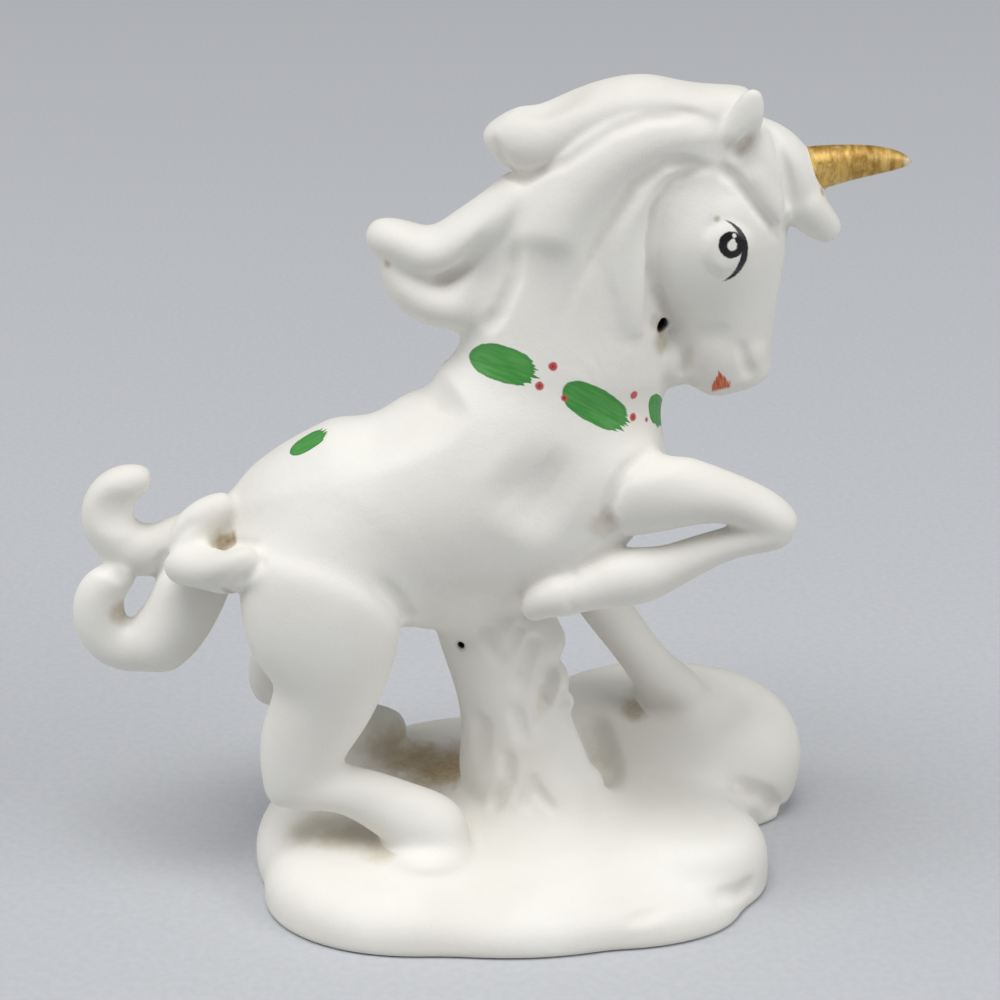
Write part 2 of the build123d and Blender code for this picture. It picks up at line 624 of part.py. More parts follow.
# Ears, the far one laid outward
with BuildPart() as ear_near:
    start = placed(crown, near_ear_share, HEAD_DEPTH, HEAD_WIDTH, HEAD_LENGTH)
    points = free_spine(start, near_ear_shares, EAR_LENGTH)
    loft(sections=sections(points, near_ear_shares, EAR_DEPTH, EAR_WIDTH))
    for seat in (head_form, drape_form, crest_form, forelock_form, cheek_form):
        add(seat.part, mode=Mode.SUBTRACT)
with BuildPart() as ear_far:
    start = placed(crown, far_ear_share, HEAD_DEPTH, HEAD_WIDTH, HEAD_LENGTH)
    points = free_spine(start, far_ear_shares, EAR_LENGTH)
    loft(sections=sections(points, far_ear_shares, EAR_DEPTH, EAR_WIDTH))
    for seat in (head_form, drape_form, crest_form, forelock_form, cheek_form):
        add(seat.part, mode=Mode.SUBTRACT)

# Horn set into the forelock
with BuildPart() as horn:
    start = placed(head_points[1], horn_share, HEAD_DEPTH, HEAD_WIDTH, HEAD_LENGTH)
    points = free_spine(start, horn_shares, HORN_LENGTH)
    loft(sections=sections(points, horn_shares, HORN_DIAMETER, HORN_DIAMETER))
    for seat in (head_form, forelock_form):
        add(seat.part, mode=Mode.SUBTRACT)

# Raised near foreleg, folded at the knee
with BuildPart() as foreleg_near:
    start = placed(chest, near_shoulder_share, BODY_LENGTH, BODY_WIDTH, BODY_DEPTH)
    points = free_spine(start, forearm_shares, FOREARM_LENGTH)
    knee = points[-2] + ALONG * (knee_share * SHANK_LENGTH)
    loft(sections=sections(points, forearm_shares, FOREARM_DEPTH, FOREARM_WIDTH))
    points = free_spine(knee, shank_shares, SHANK_LENGTH)
    loft(sections=sections(points, shank_shares, SHANK_DEPTH, SHANK_WIDTH))
    for seat in (body_form, trunk_form):
        add(seat.part, mode=Mode.SUBTRACT)

# Far foreleg, standing on the ridge of the base
with BuildPart() as foreleg_far:
    start = placed(chest, far_shoulder_share, BODY_LENGTH, BODY_WIDTH, BODY_DEPTH)
    foot = placed(Vector(0, 0, 0), far_forefoot_share, BASE_LENGTH, BASE_WIDTH, RIDGE_HEIGHT)
    points = held_spine(start, foot, far_foreleg_shares, FAR_FORELEG_BOW, 1)
    loft(sections=sections(points, far_foreleg_shares, FAR_FORELEG_DEPTH, FAR_FORELEG_WIDTH))
    for seat in (body_form, base_form):
        add(seat.part, mode=Mode.SUBTRACT)

# Hind legs seated under the haunches and on the base
with BuildPart() as hind_leg_near:
    add(hind_near_form.part)
    for seat in (body_form, base_form, trunk_form):
        add(seat.part, mode=Mode.SUBTRACT)
with BuildPart() as hind_leg_far:
    add(hind_far_form.part)
    for seat in (body_form, base_form, trunk_form):
        add(seat.part, mode=Mode.SUBTRACT)

# Tail seated on the rump, its third curl laid along the near haunch
with BuildPart() as tail_upper:
    add(tail_form.part)
    for seat in (body_form, hind_near_form, hind_far_form):
        add(seat.part, mode=Mode.SUBTRACT)
with BuildPart() as tail_loop:
    add(loop_form.part)
    for seat in (body_form, hind_near_form, hind_far_form, tail_form):
        add(seat.part, mode=Mode.SUBTRACT)
with BuildPart() as tail_side:
    start = placed(croup, tail_side_share, BODY_LENGTH, BODY_WIDTH, BODY_DEPTH)
    for curl_shares in (tail_side_shares, tail_tip_shares):
        points = free_spine(start, curl_shares, TAIL_SIDE_LENGTH)
        loft(sections=sections(points, curl_shares, TAIL_SIDE_DEPTH, TAIL_SIDE_WIDTH))
    for seat in (body_form, hind_near_form, tail_form, loop_form):
        add(seat.part, mode=Mode.SUBTRACT)

base.part.label = "base"
torso.part.label = "torso"
tree_trunk.part.label = "tree_trunk"
neck.part.label = "neck"
head.part.label = "head"
mane_drape.part.label = "mane_drape"
crest_lock.part.label = "crest_lock"
nape_lock.part.label = "nape_lock"
cheek_lock_near.part.label = "cheek_lock_near"
cheek_lock_far.part.label = "cheek_lock_far"
forelock.part.label = "forelock"
ear_near.part.label = "ear_near"
ear_far.part.label = "ear_far"
horn.part.label = "horn"
foreleg_near.part.label = "foreleg_near"
foreleg_far.part.label = "foreleg_far"
hind_leg_near.part.label = "hind_leg_near"
hind_leg_far.part.label = "hind_leg_far"
tail_upper.part.label = "tail_upper"
tail_loop.part.label = "tail_loop"
tail_side.part.label = "tail_side"

os.makedirs("parts", exist_ok=True)
for piece in (base, torso, tree_trunk, neck, head, mane_drape, crest_lock, nape_lock, cheek_lock_near,
              cheek_lock_far, forelock, ear_near, ear_far, horn, foreleg_near, foreleg_far, hind_leg_near,
              hind_leg_far, tail_upper, tail_loop, tail_side):
    export_step(piece.part, f"parts/{piece.part.label}.step")
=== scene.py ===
import math

import bpy
import numpy as np
import openvdb as vdb
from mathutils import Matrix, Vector


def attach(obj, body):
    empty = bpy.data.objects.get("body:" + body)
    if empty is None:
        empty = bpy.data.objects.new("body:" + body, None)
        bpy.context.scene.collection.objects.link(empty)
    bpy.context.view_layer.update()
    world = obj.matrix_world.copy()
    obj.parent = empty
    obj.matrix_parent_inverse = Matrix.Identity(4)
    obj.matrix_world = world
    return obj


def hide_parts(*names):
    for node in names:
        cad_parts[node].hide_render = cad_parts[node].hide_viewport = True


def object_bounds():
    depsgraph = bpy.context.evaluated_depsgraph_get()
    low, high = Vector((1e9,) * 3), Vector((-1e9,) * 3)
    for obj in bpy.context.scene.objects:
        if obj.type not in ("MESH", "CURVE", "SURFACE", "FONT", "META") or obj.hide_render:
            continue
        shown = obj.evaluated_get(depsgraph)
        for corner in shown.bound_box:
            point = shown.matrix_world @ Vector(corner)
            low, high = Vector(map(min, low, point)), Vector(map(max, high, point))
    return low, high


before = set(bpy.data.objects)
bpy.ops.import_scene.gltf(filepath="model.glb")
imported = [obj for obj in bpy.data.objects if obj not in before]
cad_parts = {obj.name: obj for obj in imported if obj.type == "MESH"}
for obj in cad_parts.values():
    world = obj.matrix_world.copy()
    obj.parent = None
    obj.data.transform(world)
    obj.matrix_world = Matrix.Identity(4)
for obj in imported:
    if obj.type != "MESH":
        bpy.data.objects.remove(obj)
cad_low, cad_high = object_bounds()

# The figure is one skin of bisque: a distance field of the solids, blended at the luted joints,
# sculpted, and cut again into a closed piece for each node. Fields are in millimetres.
MM = 0.001

# Voxel of the fields, depth of the band where distances are kept, and the room left round a node
VOXEL = 0.34
BAND_DEPTH = 5.6
BAND = round(BAND_DEPTH / VOXEL)
FAR = BAND * VOXEL
SPARE = 7.0

# How far a piece runs on under its neighbours, and how steeply it dives there
OVERLAP = 1.2
DIVE = 0.3

# Softness of the whole skin, reach of the crease measure, rounding at the floor, and the height
# whose outline the base keeps down to the floor
GRAIN_BLUR = 0.3
CREASE_BLUR = 1.6
FLOOR_ROUND = 1.2
FLOOR_LAYER = 1.0

# Camera of the photograph: 20 degrees above the horizon, 360 mm from its target, 1000 pixels wide
IMAGE = 1000
FOCAL = 2535.0
ELEVATION = math.radians(20)
DISTANCE = 360.0
TARGET = np.array([-4.0, 0.0, 56.6])
AHEAD = np.array([0, math.cos(ELEVATION), -math.sin(ELEVATION)])
RISE = np.array([0, math.sin(ELEVATION), math.cos(ELEVATION)])
RIGHT = np.array([1.0, 0, 0])
EYE_POINT = TARGET - AHEAD * DISTANCE

# How far before and behind the target a line of sight is searched, and the pixels between pinned points
SIGHT = 75.0
PIN_STEP = 3

# Nodes in the order they join, with the width of the blend where each meets the ones before it
JOINING = [
    ("torso", 0), ("hind_leg_near", 3.0), ("hind_leg_far", 3.0), ("neck", 3.0), ("foreleg_near", 0.8),
    ("foreleg_far", 1.6), ("tree_trunk", 1.2), ("head", 0.7), ("mane_drape", 0.8), ("cheek_lock_near", 0.5),
    ("cheek_lock_far", 0.5), ("crest_lock", 0.5), ("nape_lock", 0.8), ("forelock", 0.6), ("ear_near", 0.9),
    ("ear_far", 0.9), ("tail_upper", 1.2), ("tail_loop", 0.9), ("tail_side", 0.5), ("base", 1.4),
    ("horn", 0.3),
]

# Hollow castings that are filled from side to side, and the softness that rounds a node's own creases
HOLLOW_ACROSS = ("torso", "neck", "head", "tree_trunk")
ROUNDING = {"base": 1.5, "hind_leg_near": 0.8, "hind_leg_far": 0.8, "foreleg_near": 0.5, "nape_lock": 0.6,
            "forelock": 0.5, "tail_side": 0.6, "head": 0.7, "tree_trunk": 0.7}

# Joints smoothed further: the two nodes, reach and softness in millimetres
SMOOTHED = [
    ("torso", "hind_leg_near", 4.2, 2.2), ("torso", "hind_leg_far", 4.2, 2.2), ("torso", "neck", 4.2, 2.2),
    ("torso", "foreleg_near", 1.6, 0.6), ("torso", "foreleg_far", 2.4, 0.9),
    ("torso", "tree_trunk", 2.2, 0.8), ("tree_trunk", "base", 4.0, 1.5), ("foreleg_far", "base", 4.0, 1.5),
    ("hind_leg_near", "base", 1.6, 0.6), ("hind_leg_far", "base", 1.6, 0.6),
    ("neck", "mane_drape", 2.6, 1.0), ("torso", "mane_drape", 2.6, 1.0),
    ("mane_drape", "nape_lock", 2.0, 0.7), ("neck", "nape_lock", 1.6, 0.6),
    ("torso", "tail_upper", 2.6, 0.9), ("tail_upper", "tail_side", 1.0, 0.4),
    ("mane_drape", "ear_near", 1.4, 0.5), ("head", "ear_near", 1.2, 0.5), ("head", "forelock", 1.0, 0.4),
    ("head", "cheek_lock_near", 1.8, 0.6), ("head", "cheek_lock_far", 1.8, 0.6),
    ("mane_drape", "cheek_lock_near", 1.6, 0.6), ("mane_drape", "cheek_lock_far", 1.6, 0.6),
]

# Softened places: pixel of the photograph, reach and softness in millimetres, both sides or one
SOFTENED = [
    ((508, 352), 4.5, 1.5, True), ((530, 372), 4.0, 1.5, True), ((640, 440), 4.0, 1.5, True),
    ((722, 168), 2.6, 1.0, True), ((560, 315), 4.5, 1.8, True), ((510, 300), 4.5, 1.8, True),
    ((520, 795), 3.6, 1.3, False), ((552, 790), 3.6, 1.3, False), ((590, 745), 4.0, 1.6, False),
    ((470, 505), 7.0, 2.4, True), ((520, 500), 7.0, 2.4, True), ((560, 490), 5.0, 2.0, True),
    ((535, 300), 5.0, 2.0, True), ((462, 374), 3.6, 1.4, True), ((188, 640), 4.0, 1.0, False),
    ((252, 578), 1.6, 0.7, False),
]

# Lobes added to the skin: a pixel of the photograph or a point, half sizes in millimetres, and the blend
LOBES = [
    ((19.9, 0.0, 77.6), (3.4, 4.6, 3.9), 1.2),
    ((3.3, -1.0, 35.3), (2.2, 3.2, 2.4), 1.2),
    ((4.0, -2.0, 29.2), (2.0, 3.0, 3.4), 1.2),
    ((-12.0, -1.0, 44.4), (11.0, 9.5, 6.2), 2.5),
    ((430, 858), (4.6, 3.6, 1.4), 2.0),
    ((221, 541), (2.6, 2.0, 2.2), 0.8),
]

# Tubes that thicken a lock or hoof: pixels of the photograph, the radius at each end, the share of the
# radius that lies behind the skin, and the blend
TUBES = [
    ([(187, 590), (184, 605), (179, 619), (171, 632), (160, 642)], (4.7, 4.5), 0.87, 1.5),
    ([(556, 594), (543, 602), (535, 608)], (1.9, 1.9), 1.15, 1.0),
    ([(183, 565), (197, 569), (212, 569), (228, 565), (243, 560), (258, 556)], (2.9, 1.4), 0.62, 0.6),
    ([(808, 205), (818, 216), (828, 226)], (2.4, 2.0), 0.9, 1.0),
]

# Grooves read from the photograph: pixels, half width and depth in millimetres, the share of the line
# that fades at each end, and whether the far side has it too. A negative depth is a ridge.
GROOVES = [
    # Mane and head
    ([(705, 162), (663, 165), (631, 187), (599, 239), (577, 283), (559, 335)], 1.2, 0.9, (0.1, 0.5), True),
    ([(720, 168), (702, 168), (670, 182), (651, 209), (645, 245), (647, 275), (655, 300), (662, 315)],
     1.0, 0.5, (0.1, 0.3), True),
    ([(690, 188), (668, 204), (657, 228), (655, 255), (661, 290)], 3.0, -0.7, (0.3, 0.4), True),
    ([(488, 133), (510, 172), (526, 178), (567, 162), (615, 130), (647, 119), (701, 116)],
     1.2, 1.2, (0.1, 0.2), True),
    ([(520, 104), (545, 105), (575, 94), (600, 84)], 4.2, 1.2, (0.4, 0.5), False),
    ([(506, 209), (480, 243), (462, 266), (438, 279), (419, 271)], 1.6, 0.5, (0.4, 0.3), True),
    ([(518, 230), (515, 278), (500, 313), (480, 335)], 1.8, 0.5, (0.3, 0.2), True),
    ([(716, 166), (737, 181), (757, 209), (781, 237)], 1.2, 1.0, (0.15, 0.1), True),
    ([(738, 164), (752, 180), (766, 202), (782, 224)], 2.6, -0.9, (0.3, 0.1), True),
    ([(766, 122), (776, 136), (786, 174), (788, 205), (786, 233)], 1.2, 0.8, (0.3, 0.1), True),
    ([(760, 118), (754, 132), (742, 149), (730, 160)], 1.3, 0.9, (0.4, 0.2), True),
    ([(722, 217), (711, 226), (705.5, 246), (708, 265), (719, 280)], 0.9, 0.45, (0.25, 0.25), True),
    ([(738, 338), (742, 350), (746, 364), (753, 378)], 1.2, 0.75, (0.35, 0.2), True),
    ([(684, 338), (688, 352), (686, 366), (681, 376)], 1.3, 0.8, (0.4, 0.1), True),
    ([(693, 338), (715, 333), (736, 336)], 2.2, 0.4, (0.4, 0.4), True),
    # Back, belly and legs
    ([(322, 442), (360, 426), (390, 414), (420, 399), (450, 376)], 9.0, 2.5, (0.4, 0.2), True),
    ([(372, 566), (382, 583), (398, 600), (409, 618)], 1.6, 0.6, (0.6, 0.05), False),
    ([(655, 446), (640, 458), (626, 471), (613, 493), (605, 514), (608, 531)], 1.4, 0.8, (0.4, 0.1), False),
    ([(500, 455), (526, 484), (552, 500), (580, 510)], 8.0, 1.5, (0.6, 0.4), False),
    ([(578, 571), (571, 581), (569, 598), (572, 612)], 0.9, 0.5, (0.1, 0.2), False),
    # Bark of the trunk
    ([(484, 625), (491, 644), (499, 657), (501.5, 669.5)], 1.7, 1.5, (0.15, 0.4), True),
    ([(524, 623), (513.6, 642), (505, 656)], 1.5, 1.2, (0.15, 0.4), True),
    ([(536, 633), (527, 657.5), (520.5, 683), (518, 697)], 1.8, 1.9, (0.15, 0.4), True),
    ([(551, 664), (545, 700), (541, 723), (548, 745)], 1.7, 1.5, (0.2, 0.5), True),
    ([(563.5, 687), (563.5, 707), (574, 723)], 1.6, 1.2, (0.3, 0.4), True),
    ([(503, 743.5), (508, 761), (507, 780), (496, 799), (490, 816)], 1.5, 1.3, (0.4, 0.3), True),
    ([(532.5, 771), (533, 785), (528, 802), (526.5, 816)], 1.4, 1.1, (0.4, 0.4), True),
    ([(534, 786.5), (543, 800), (557, 816)], 1.3, 0.9, (0.2, 0.5), True),
    ([(465, 704), (481, 726), (477, 769)], 2.2, 1.0, (0.4, 0.5), True),
    ([(512, 700), (520, 724), (524, 748)], 1.6, 1.0, (0.4, 0.4), True),
    ([(575, 705), (590, 735), (602, 775)], 4.2, 2.0, (0.3, 0.3), False),
    # Base
    ([(707, 785), (743, 788), (767, 797), (778, 812)], 2.2, 1.0, (0.5, 0.1), False),
    ([(803, 798), (792, 814), (779, 828)], 5.0, 3.6, (0.4, 0.1), False),
    ([(699, 890), (719, 897), (740, 893), (757, 880)], 1.8, 0.9, (0.4, 0.2), False),
    ([(619, 922), (646, 916), (673, 907)], 1.5, 0.6, (0.5, 0.5), False),
    ([(590, 700), (625, 707), (665, 712), (700, 722)], 4.0, 0.7, (0.4, 0.4), False),
    # Tail
    ([(96, 566), (112, 572), (130, 584)], 1.3, 0.7, (0.1, 0.4), False),
    ([(205, 520), (188, 526), (172, 545), (161, 562), (150, 583)], 1.1, 0.7, (0.2, 0.3), False),
    ([(211, 547), (234, 542), (254, 544), (265, 555)], 0.9, 0.5, (0.1, 0.1), False),
    ([(266, 558), (256, 570), (234, 587)], 0.9, 0.4, (0.1, 0.1), False),
]

# Bumps and dimples: pixel, reach, height, the flat share of the reach, and the far side
DABS = [
    ((727, 249), 3.9, 0.8, 0.68, True), ((757, 357), 3.2, 0.7, 0.1, True),
    ((715, 364), 4.4, 0.5, 0.2, True), ((731, 214), 3.0, 0.25, 0.2, True),
    ((114, 512), 4.2, -0.8, 0.1, False), ((692, 268), 9.0, 0.35, 0.2, True),
    ((748, 140), 1.7, -0.5, 0.2, True),
]

# Firing vents: pixel and way in, radius and depth, the ring of pixels that finds the skin around one,
# and how much wider than the vent the filling of the solid's own hole is
HEAD_VENT, HEAD_VENT_WAY = (663, 327), np.array([-0.15, 0.95, 0.1])
TRUNK_VENT, TRUNK_VENT_WAY = (460.5, 646), np.array([0.2, 0.97, 0.0])
HEAD_VENT_RADIUS, TRUNK_VENT_RADIUS, VENT_DEPTH = 0.9, 0.55, 3.0
VENT_RING, PLUG_SPARE = 13, 0.5


# Grid and fields

grid_low = np.floor(np.array(cad_low) / MM / VOXEL).astype(int) - int(SPARE / VOXEL)
grid_shape = np.ceil(np.array(cad_high) / MM / VOXEL).astype(int) + int(SPARE / VOXEL) - grid_low
transform = vdb.createLinearTransform(voxelSize=VOXEL)


def window(low, high):
    """The slices of the grid around a box, and the coordinates along them."""
    start = np.maximum(np.floor(np.asarray(low) / VOXEL).astype(int) - grid_low, 0)
    stop = np.minimum(np.ceil(np.asarray(high) / VOXEL).astype(int) - grid_low + 1, grid_shape)
    cut = tuple(slice(i, j) for i, j in zip(start, stop))
    x, y, z = ((np.arange(i, j) + g).astype("f4") * VOXEL for i, j, g in zip(start, stop, grid_low))
    return cut, x[:, None, None], y[None, :, None], z[None, None, :]


def corner(cut):
    """The grid index of a window's first voxel."""
    return tuple(int(s.start + g) for s, g in zip(cut, grid_low))


def level_set(cut, points, triangles=None, quads=None):
    """The signed distance to a closed mesh, on a window."""
    grid = vdb.FloatGrid.createLevelSetFromPolygons(points, triangles=triangles, quads=quads,
                                                    transform=transform, halfWidth=BAND)
    field = np.empty([s.stop - s.start for s in cut], "f4")
    grid.copyToArray(field, ijk=corner(cut))
    return field


def surface(cut, field):
    """The quads of a field's zero surface."""
    grid = vdb.FloatGrid(FAR)
    grid.transform = transform
    grid.copyFromArray(field, ijk=corner(cut), tolerance=0)
    return grid.convertToQuads(isovalue=0)


def blurred(field, softness):
    """A field smoothed by a bell curve of that width."""
    reach = int(math.ceil(2.5 * softness / VOXEL))
    weights = np.exp(-0.5 * (np.arange(-reach, reach + 1) * VOXEL / softness) ** 2)
    weights = (weights / weights.sum()).astype("f4")
    for axis in range(3):
        padded = np.pad(field, [(reach, reach) if a == axis else (0, 0) for a in range(3)], mode="edge")
        field = np.zeros_like(field)
        for start, weight in enumerate(weights):
            part = [slice(None)] * 3
            part[axis] = slice(start, start + field.shape[axis])
            field += weight * padded[tuple(part)]
    return field


def filled(field, axis):
    """A field whose inside is solid between the outermost walls along one axis."""
    solid = field < 0
    before = np.maximum.accumulate(solid, axis)
    after = np.flip(np.maximum.accumulate(np.flip(solid, axis), axis), axis)
    return np.where(before & after, np.minimum(field, -VOXEL), field)


def node_field(name):
    """A node's window and its signed distance there, as a full solid with its own creases rounded."""
    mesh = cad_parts[name].data
    mesh.calc_loop_triangles()
    points = np.empty(len(mesh.vertices) * 3, "f4")
    mesh.vertices.foreach_get("co", points)
    points = points.reshape(-1, 3) / MM
    triangles = np.empty(len(mesh.loop_triangles) * 3, "i4")
    mesh.loop_triangles.foreach_get("vertices", triangles)
    cut = window(points.min(0) - SPARE, points.max(0) + SPARE)[0]
    field = level_set(cut, points, triangles=triangles.reshape(-1, 3).astype("u4"))
    # The base is closed below, with the outline of its floor layer carried straight down
    if name == "base":
        field = filled(field, 0)
        layer = round(FLOOR_LAYER / VOXEL) - corner(cut)[2]
        field[:, :, :layer] = field[:, :, layer:layer + 1]
        field[:, :, 0] = FAR
    if name in HOLLOW_ACROSS:
        field = filled(field, 1)
    if name in HOLLOW_ACROSS or name == "base":
        outer, quads = surface(cut, field)
        field = level_set(cut, outer, quads=quads)
    if name in ROUNDING:
        field = blurred(field, ROUNDING[name])
    return cut, field


def smooth_min(a, b, width):
    """The nearer of two distances, with a fillet where they are alike."""
    if not width:
        return np.minimum(a, b)
    share = np.maximum(width - np.abs(a - b), 0) / width
    return np.minimum(a, b) - share * share * (width / 4)


names = [name for name, _ in JOINING]
node_fields = {name: node_field(name) for name in names}
skin = np.full(grid_shape, FAR, "f4")
nearest = np.full(grid_shape, FAR, "f4")
second = np.full(grid_shape, FAR, "f4")
owner = np.zeros(grid_shape, "u1")
for index, (name, width) in enumerate(JOINING):
    cut, field = node_fields[name]
    skin[cut] = smooth_min(skin[cut], field, width)
    nearer = field < nearest[cut]
    second[cut] = np.where(nearer, nearest[cut], np.minimum(second[cut], field))
    owner[cut] = np.where(nearer, index, owner[cut])
    nearest[cut] = np.minimum(nearest[cut], field)


def shared(first, other):
    """The window that two nodes share, and each one's distance there."""
    cut = tuple(slice(max(a.start, b.start), min(a.stop, b.stop))
                for a, b in zip(node_fields[first][0], node_fields[other][0]))
    views = []
    for name in (first, other):
        own, field = node_fields[name]
        views.append(field[tuple(slice(c.start - o.start, c.stop - o.start) for c, o in zip(cut, own))])
    return cut, views[0], views[1]


def eased(share):
    """A share from 0 to 1 with a soft start and end."""
    share = np.clip(share, 0, 1)
    return share * share * (3 - 2 * share)


def smooth(cut, share, softness):
    """Smooths the skin twice in a window, by a share at each voxel."""
    for _ in range(2):
        skin[cut] += share * (blurred(skin[cut], softness) - skin[cut])


for first, other, reach, softness in SMOOTHED:
    cut, a, b = shared(first, other)
    smooth(cut, eased(1.25 - np.maximum(np.abs(a), np.abs(b)) / reach), softness)


# Sculpting tools: places come from pixels of the photograph and lie on the skin

def sampled(field, points, cut):
    """A field's values at points inside a window, between voxels."""
    place = np.clip(points / VOXEL - np.array(corner(cut)), 0, np.array(field.shape) - 1.001)
    base = np.floor(place).astype(int)
    part = (place - base).astype("f4")
    total = np.zeros(len(points), "f4")
    for i, j, k in np.ndindex(2, 2, 2):
        weight = np.abs(1 - i - part[:, 0]) * np.abs(1 - j - part[:, 1]) * np.abs(1 - k - part[:, 2])
        total += weight * field[base[:, 0] + i, base[:, 1] + j, base[:, 2] + k]
    return total


whole = tuple(slice(0, n) for n in grid_shape)


def pin(pixel):
    """The first point of the skin behind a pixel, or the nearest one beside it."""
    ray = AHEAD + RIGHT * ((pixel[0] - IMAGE / 2) / FOCAL) + RISE * ((IMAGE / 2 - pixel[1]) / FOCAL)
    points = EYE_POINT + np.arange(DISTANCE - SIGHT, DISTANCE + SIGHT, VOXEL / 2)[:, None] * ray
    depth = sampled(skin, points, whole)
    inside = np.flatnonzero(depth < 0)
    if not len(inside):
        return points[np.argmin(depth)]
    last = inside[0]
    part = depth[last - 1] / (depth[last - 1] - depth[last])
    return points[last - 1] + (points[last] - points[last - 1]) * part


def pinned_line(pixels):
    """Points of the skin along a line of pixels, one for each step."""
    path = []
    for a, b in zip(np.array(pixels[:-1], float), np.array(pixels[1:], float)):
        count = max(int(np.linalg.norm(b - a) / PIN_STEP), 1)
        path += [pin(a + (b - a) * i / count) for i in range(count)]
    return np.array(path + [pin(pixels[-1])])


def sides(points, both):
    """The points, and their mirror on the far side."""
    return [points, points * (1, -1, 1)] if both else [points]


def from_line(points, reach):
    """A window round a line, the distance from it up to the reach, and the share of its length."""
    cut = window(points.min(0) - reach, points.max(0) + reach)[0]
    near = np.full([s.stop - s.start for s in cut], reach * reach, "f4")
    way = np.zeros_like(near)
    lengths = np.r_[0, np.cumsum(np.linalg.norm(np.diff(points, axis=0), axis=1))]
    for a, b, start, end in zip(points[:-1], points[1:], lengths[:-1], lengths[1:]):
        part, x, y, z = window(np.minimum(a, b) - reach, np.maximum(a, b) + reach)
        inner = tuple(slice(p.start - c.start, p.stop - c.start) for p, c in zip(part, cut))
        run = b - a
        along = ((x - a[0]) * run[0] + (y - a[1]) * run[1] + (z - a[2]) * run[2]) / max(run @ run, 1e-6)
        along = np.clip(along, 0, 1)
        gap = ((x - a[0] - along * run[0]) ** 2 + (y - a[1] - along * run[1]) ** 2
               + (z - a[2] - along * run[2]) ** 2)
        closer = gap < near[inner]
        way[inner] = np.where(closer, (start + (end - start) * along) / lengths[-1], way[inner])
        near[inner] = np.minimum(near[inner], gap)
    return cut, np.sqrt(near), way


def stroke(points, width, depth, fades):
    """A groove along points of the skin, or a ridge where the depth is negative."""
    cut, gap, way = from_line(points, width)
    ends = eased(way / max(fades[0], 1e-3)) * eased((1 - way) / max(fades[1], 1e-3))
    skin[cut] += depth * ends * (1 - (gap / width) ** 2) ** 2


def tube(points, radii, sunk, blend):
    """A tapered rope laid along points of the skin and joined to it."""
    middles = points + AHEAD * (np.linspace(*radii, len(points))[:, None] * sunk)
    cut, gap, way = from_line(middles, max(radii) + blend + 1)
    skin[cut] = smooth_min(skin[cut], gap - radii[0] - (radii[1] - radii[0]) * way, blend)


def dab(point, reach, height, flat):
    """A round bump, or a dimple where the height is negative."""
    cut, x, y, z = window(point - reach, point + reach)
    gap = np.sqrt((x - point[0]) ** 2 + (y - point[1]) ** 2 + (z - point[2]) ** 2) / reach
    skin[cut] -= height * eased((1 - gap) / (1 - flat))


def lobe(centre, halves, blend):
    """A rounded lump joined to the skin."""
    halves = np.array(halves)
    cut, x, y, z = window(centre - halves - SPARE, centre + halves + SPARE)
    share = np.sqrt(((x - centre[0]) / halves[0]) ** 2 + ((y - centre[1]) / halves[1]) ** 2
                    + ((z - centre[2]) / halves[2]) ** 2)
    skin[cut] = smooth_min(skin[cut], (share - 1) * halves.min(), blend)


def rod(point, way, start):
    """A window, and the distance there from a short line into the skin."""
    way = way / np.linalg.norm(way)
    cut, x, y, z = window(point - 2 * VENT_DEPTH, point + 2 * VENT_DEPTH)
    along = (x - point[0]) * way[0] + (y - point[1]) * way[1] + (z - point[2]) * way[2]
    along = np.clip(along, start, VENT_DEPTH)
    return cut, np.sqrt((x - point[0] - along * way[0]) ** 2 + (y - point[1] - along * way[1]) ** 2
                        + (z - point[2] - along * way[2]) ** 2)


def bored_vent(pixel, way, radius):
    """A blind vent hole, where the solid's own hole is filled first. Gives its place."""
    turns = np.arange(8) * math.pi / 4
    ring = [pin((pixel[0] + VENT_RING * math.cos(t), pixel[1] + VENT_RING * math.sin(t))) for t in turns]
    point = np.mean(ring, 0)
    plug = radius + PLUG_SPARE
    cut, gap = rod(point, way, plug)
    skin[cut] = smooth_min(skin[cut], gap - plug, PLUG_SPARE)
    point = pin(pixel)
    cut, gap = rod(point, way, -VENT_DEPTH)
    skin[cut] = np.maximum(skin[cut], radius - gap)
    return point


def soften(point, reach, softness):
    """A place where the skin is smoothed."""
    cut, x, y, z = window(point - 2 * reach, point + 2 * reach)
    gap = np.sqrt((x - point[0]) ** 2 + (y - point[1]) ** 2 + (z - point[2]) ** 2)
    smooth(cut, eased(2 - gap / reach), softness)


for place, halves, blend in LOBES:
    lobe(pin(place) if len(place) == 2 else np.array(place), halves, blend)
for pixels, radii, sunk, blend in TUBES:
    tube(pinned_line(pixels), radii, sunk, blend)
for pixel, reach, softness, both in SOFTENED:
    for point in sides(pin(pixel), both):
        soften(point, reach, softness)
for pixel, reach, height, flat, both in DABS:
    for point in sides(pin(pixel), both):
        dab(point, reach, height, flat)
for pixels, width, depth, fades, both in GROOVES:
    for points in sides(pinned_line(pixels), both):
        stroke(points, width, depth, fades)
head_vent = bored_vent(HEAD_VENT, HEAD_VENT_WAY, HEAD_VENT_RADIUS)
trunk_vent = bored_vent(TRUNK_VENT, TRUNK_VENT_WAY, TRUNK_VENT_RADIUS)
skin = blurred(skin, GRAIN_BLUR)
height = window(grid_low * VOXEL, (grid_low + grid_shape) * VOXEL)[3]
skin = -smooth_min(-skin, height + np.zeros_like(skin), FLOOR_ROUND)
# How deep the skin lies in a crease, for the dust and painted shade laid there
hollow = blurred(skin, CREASE_BLUR) - skin


# Pieces

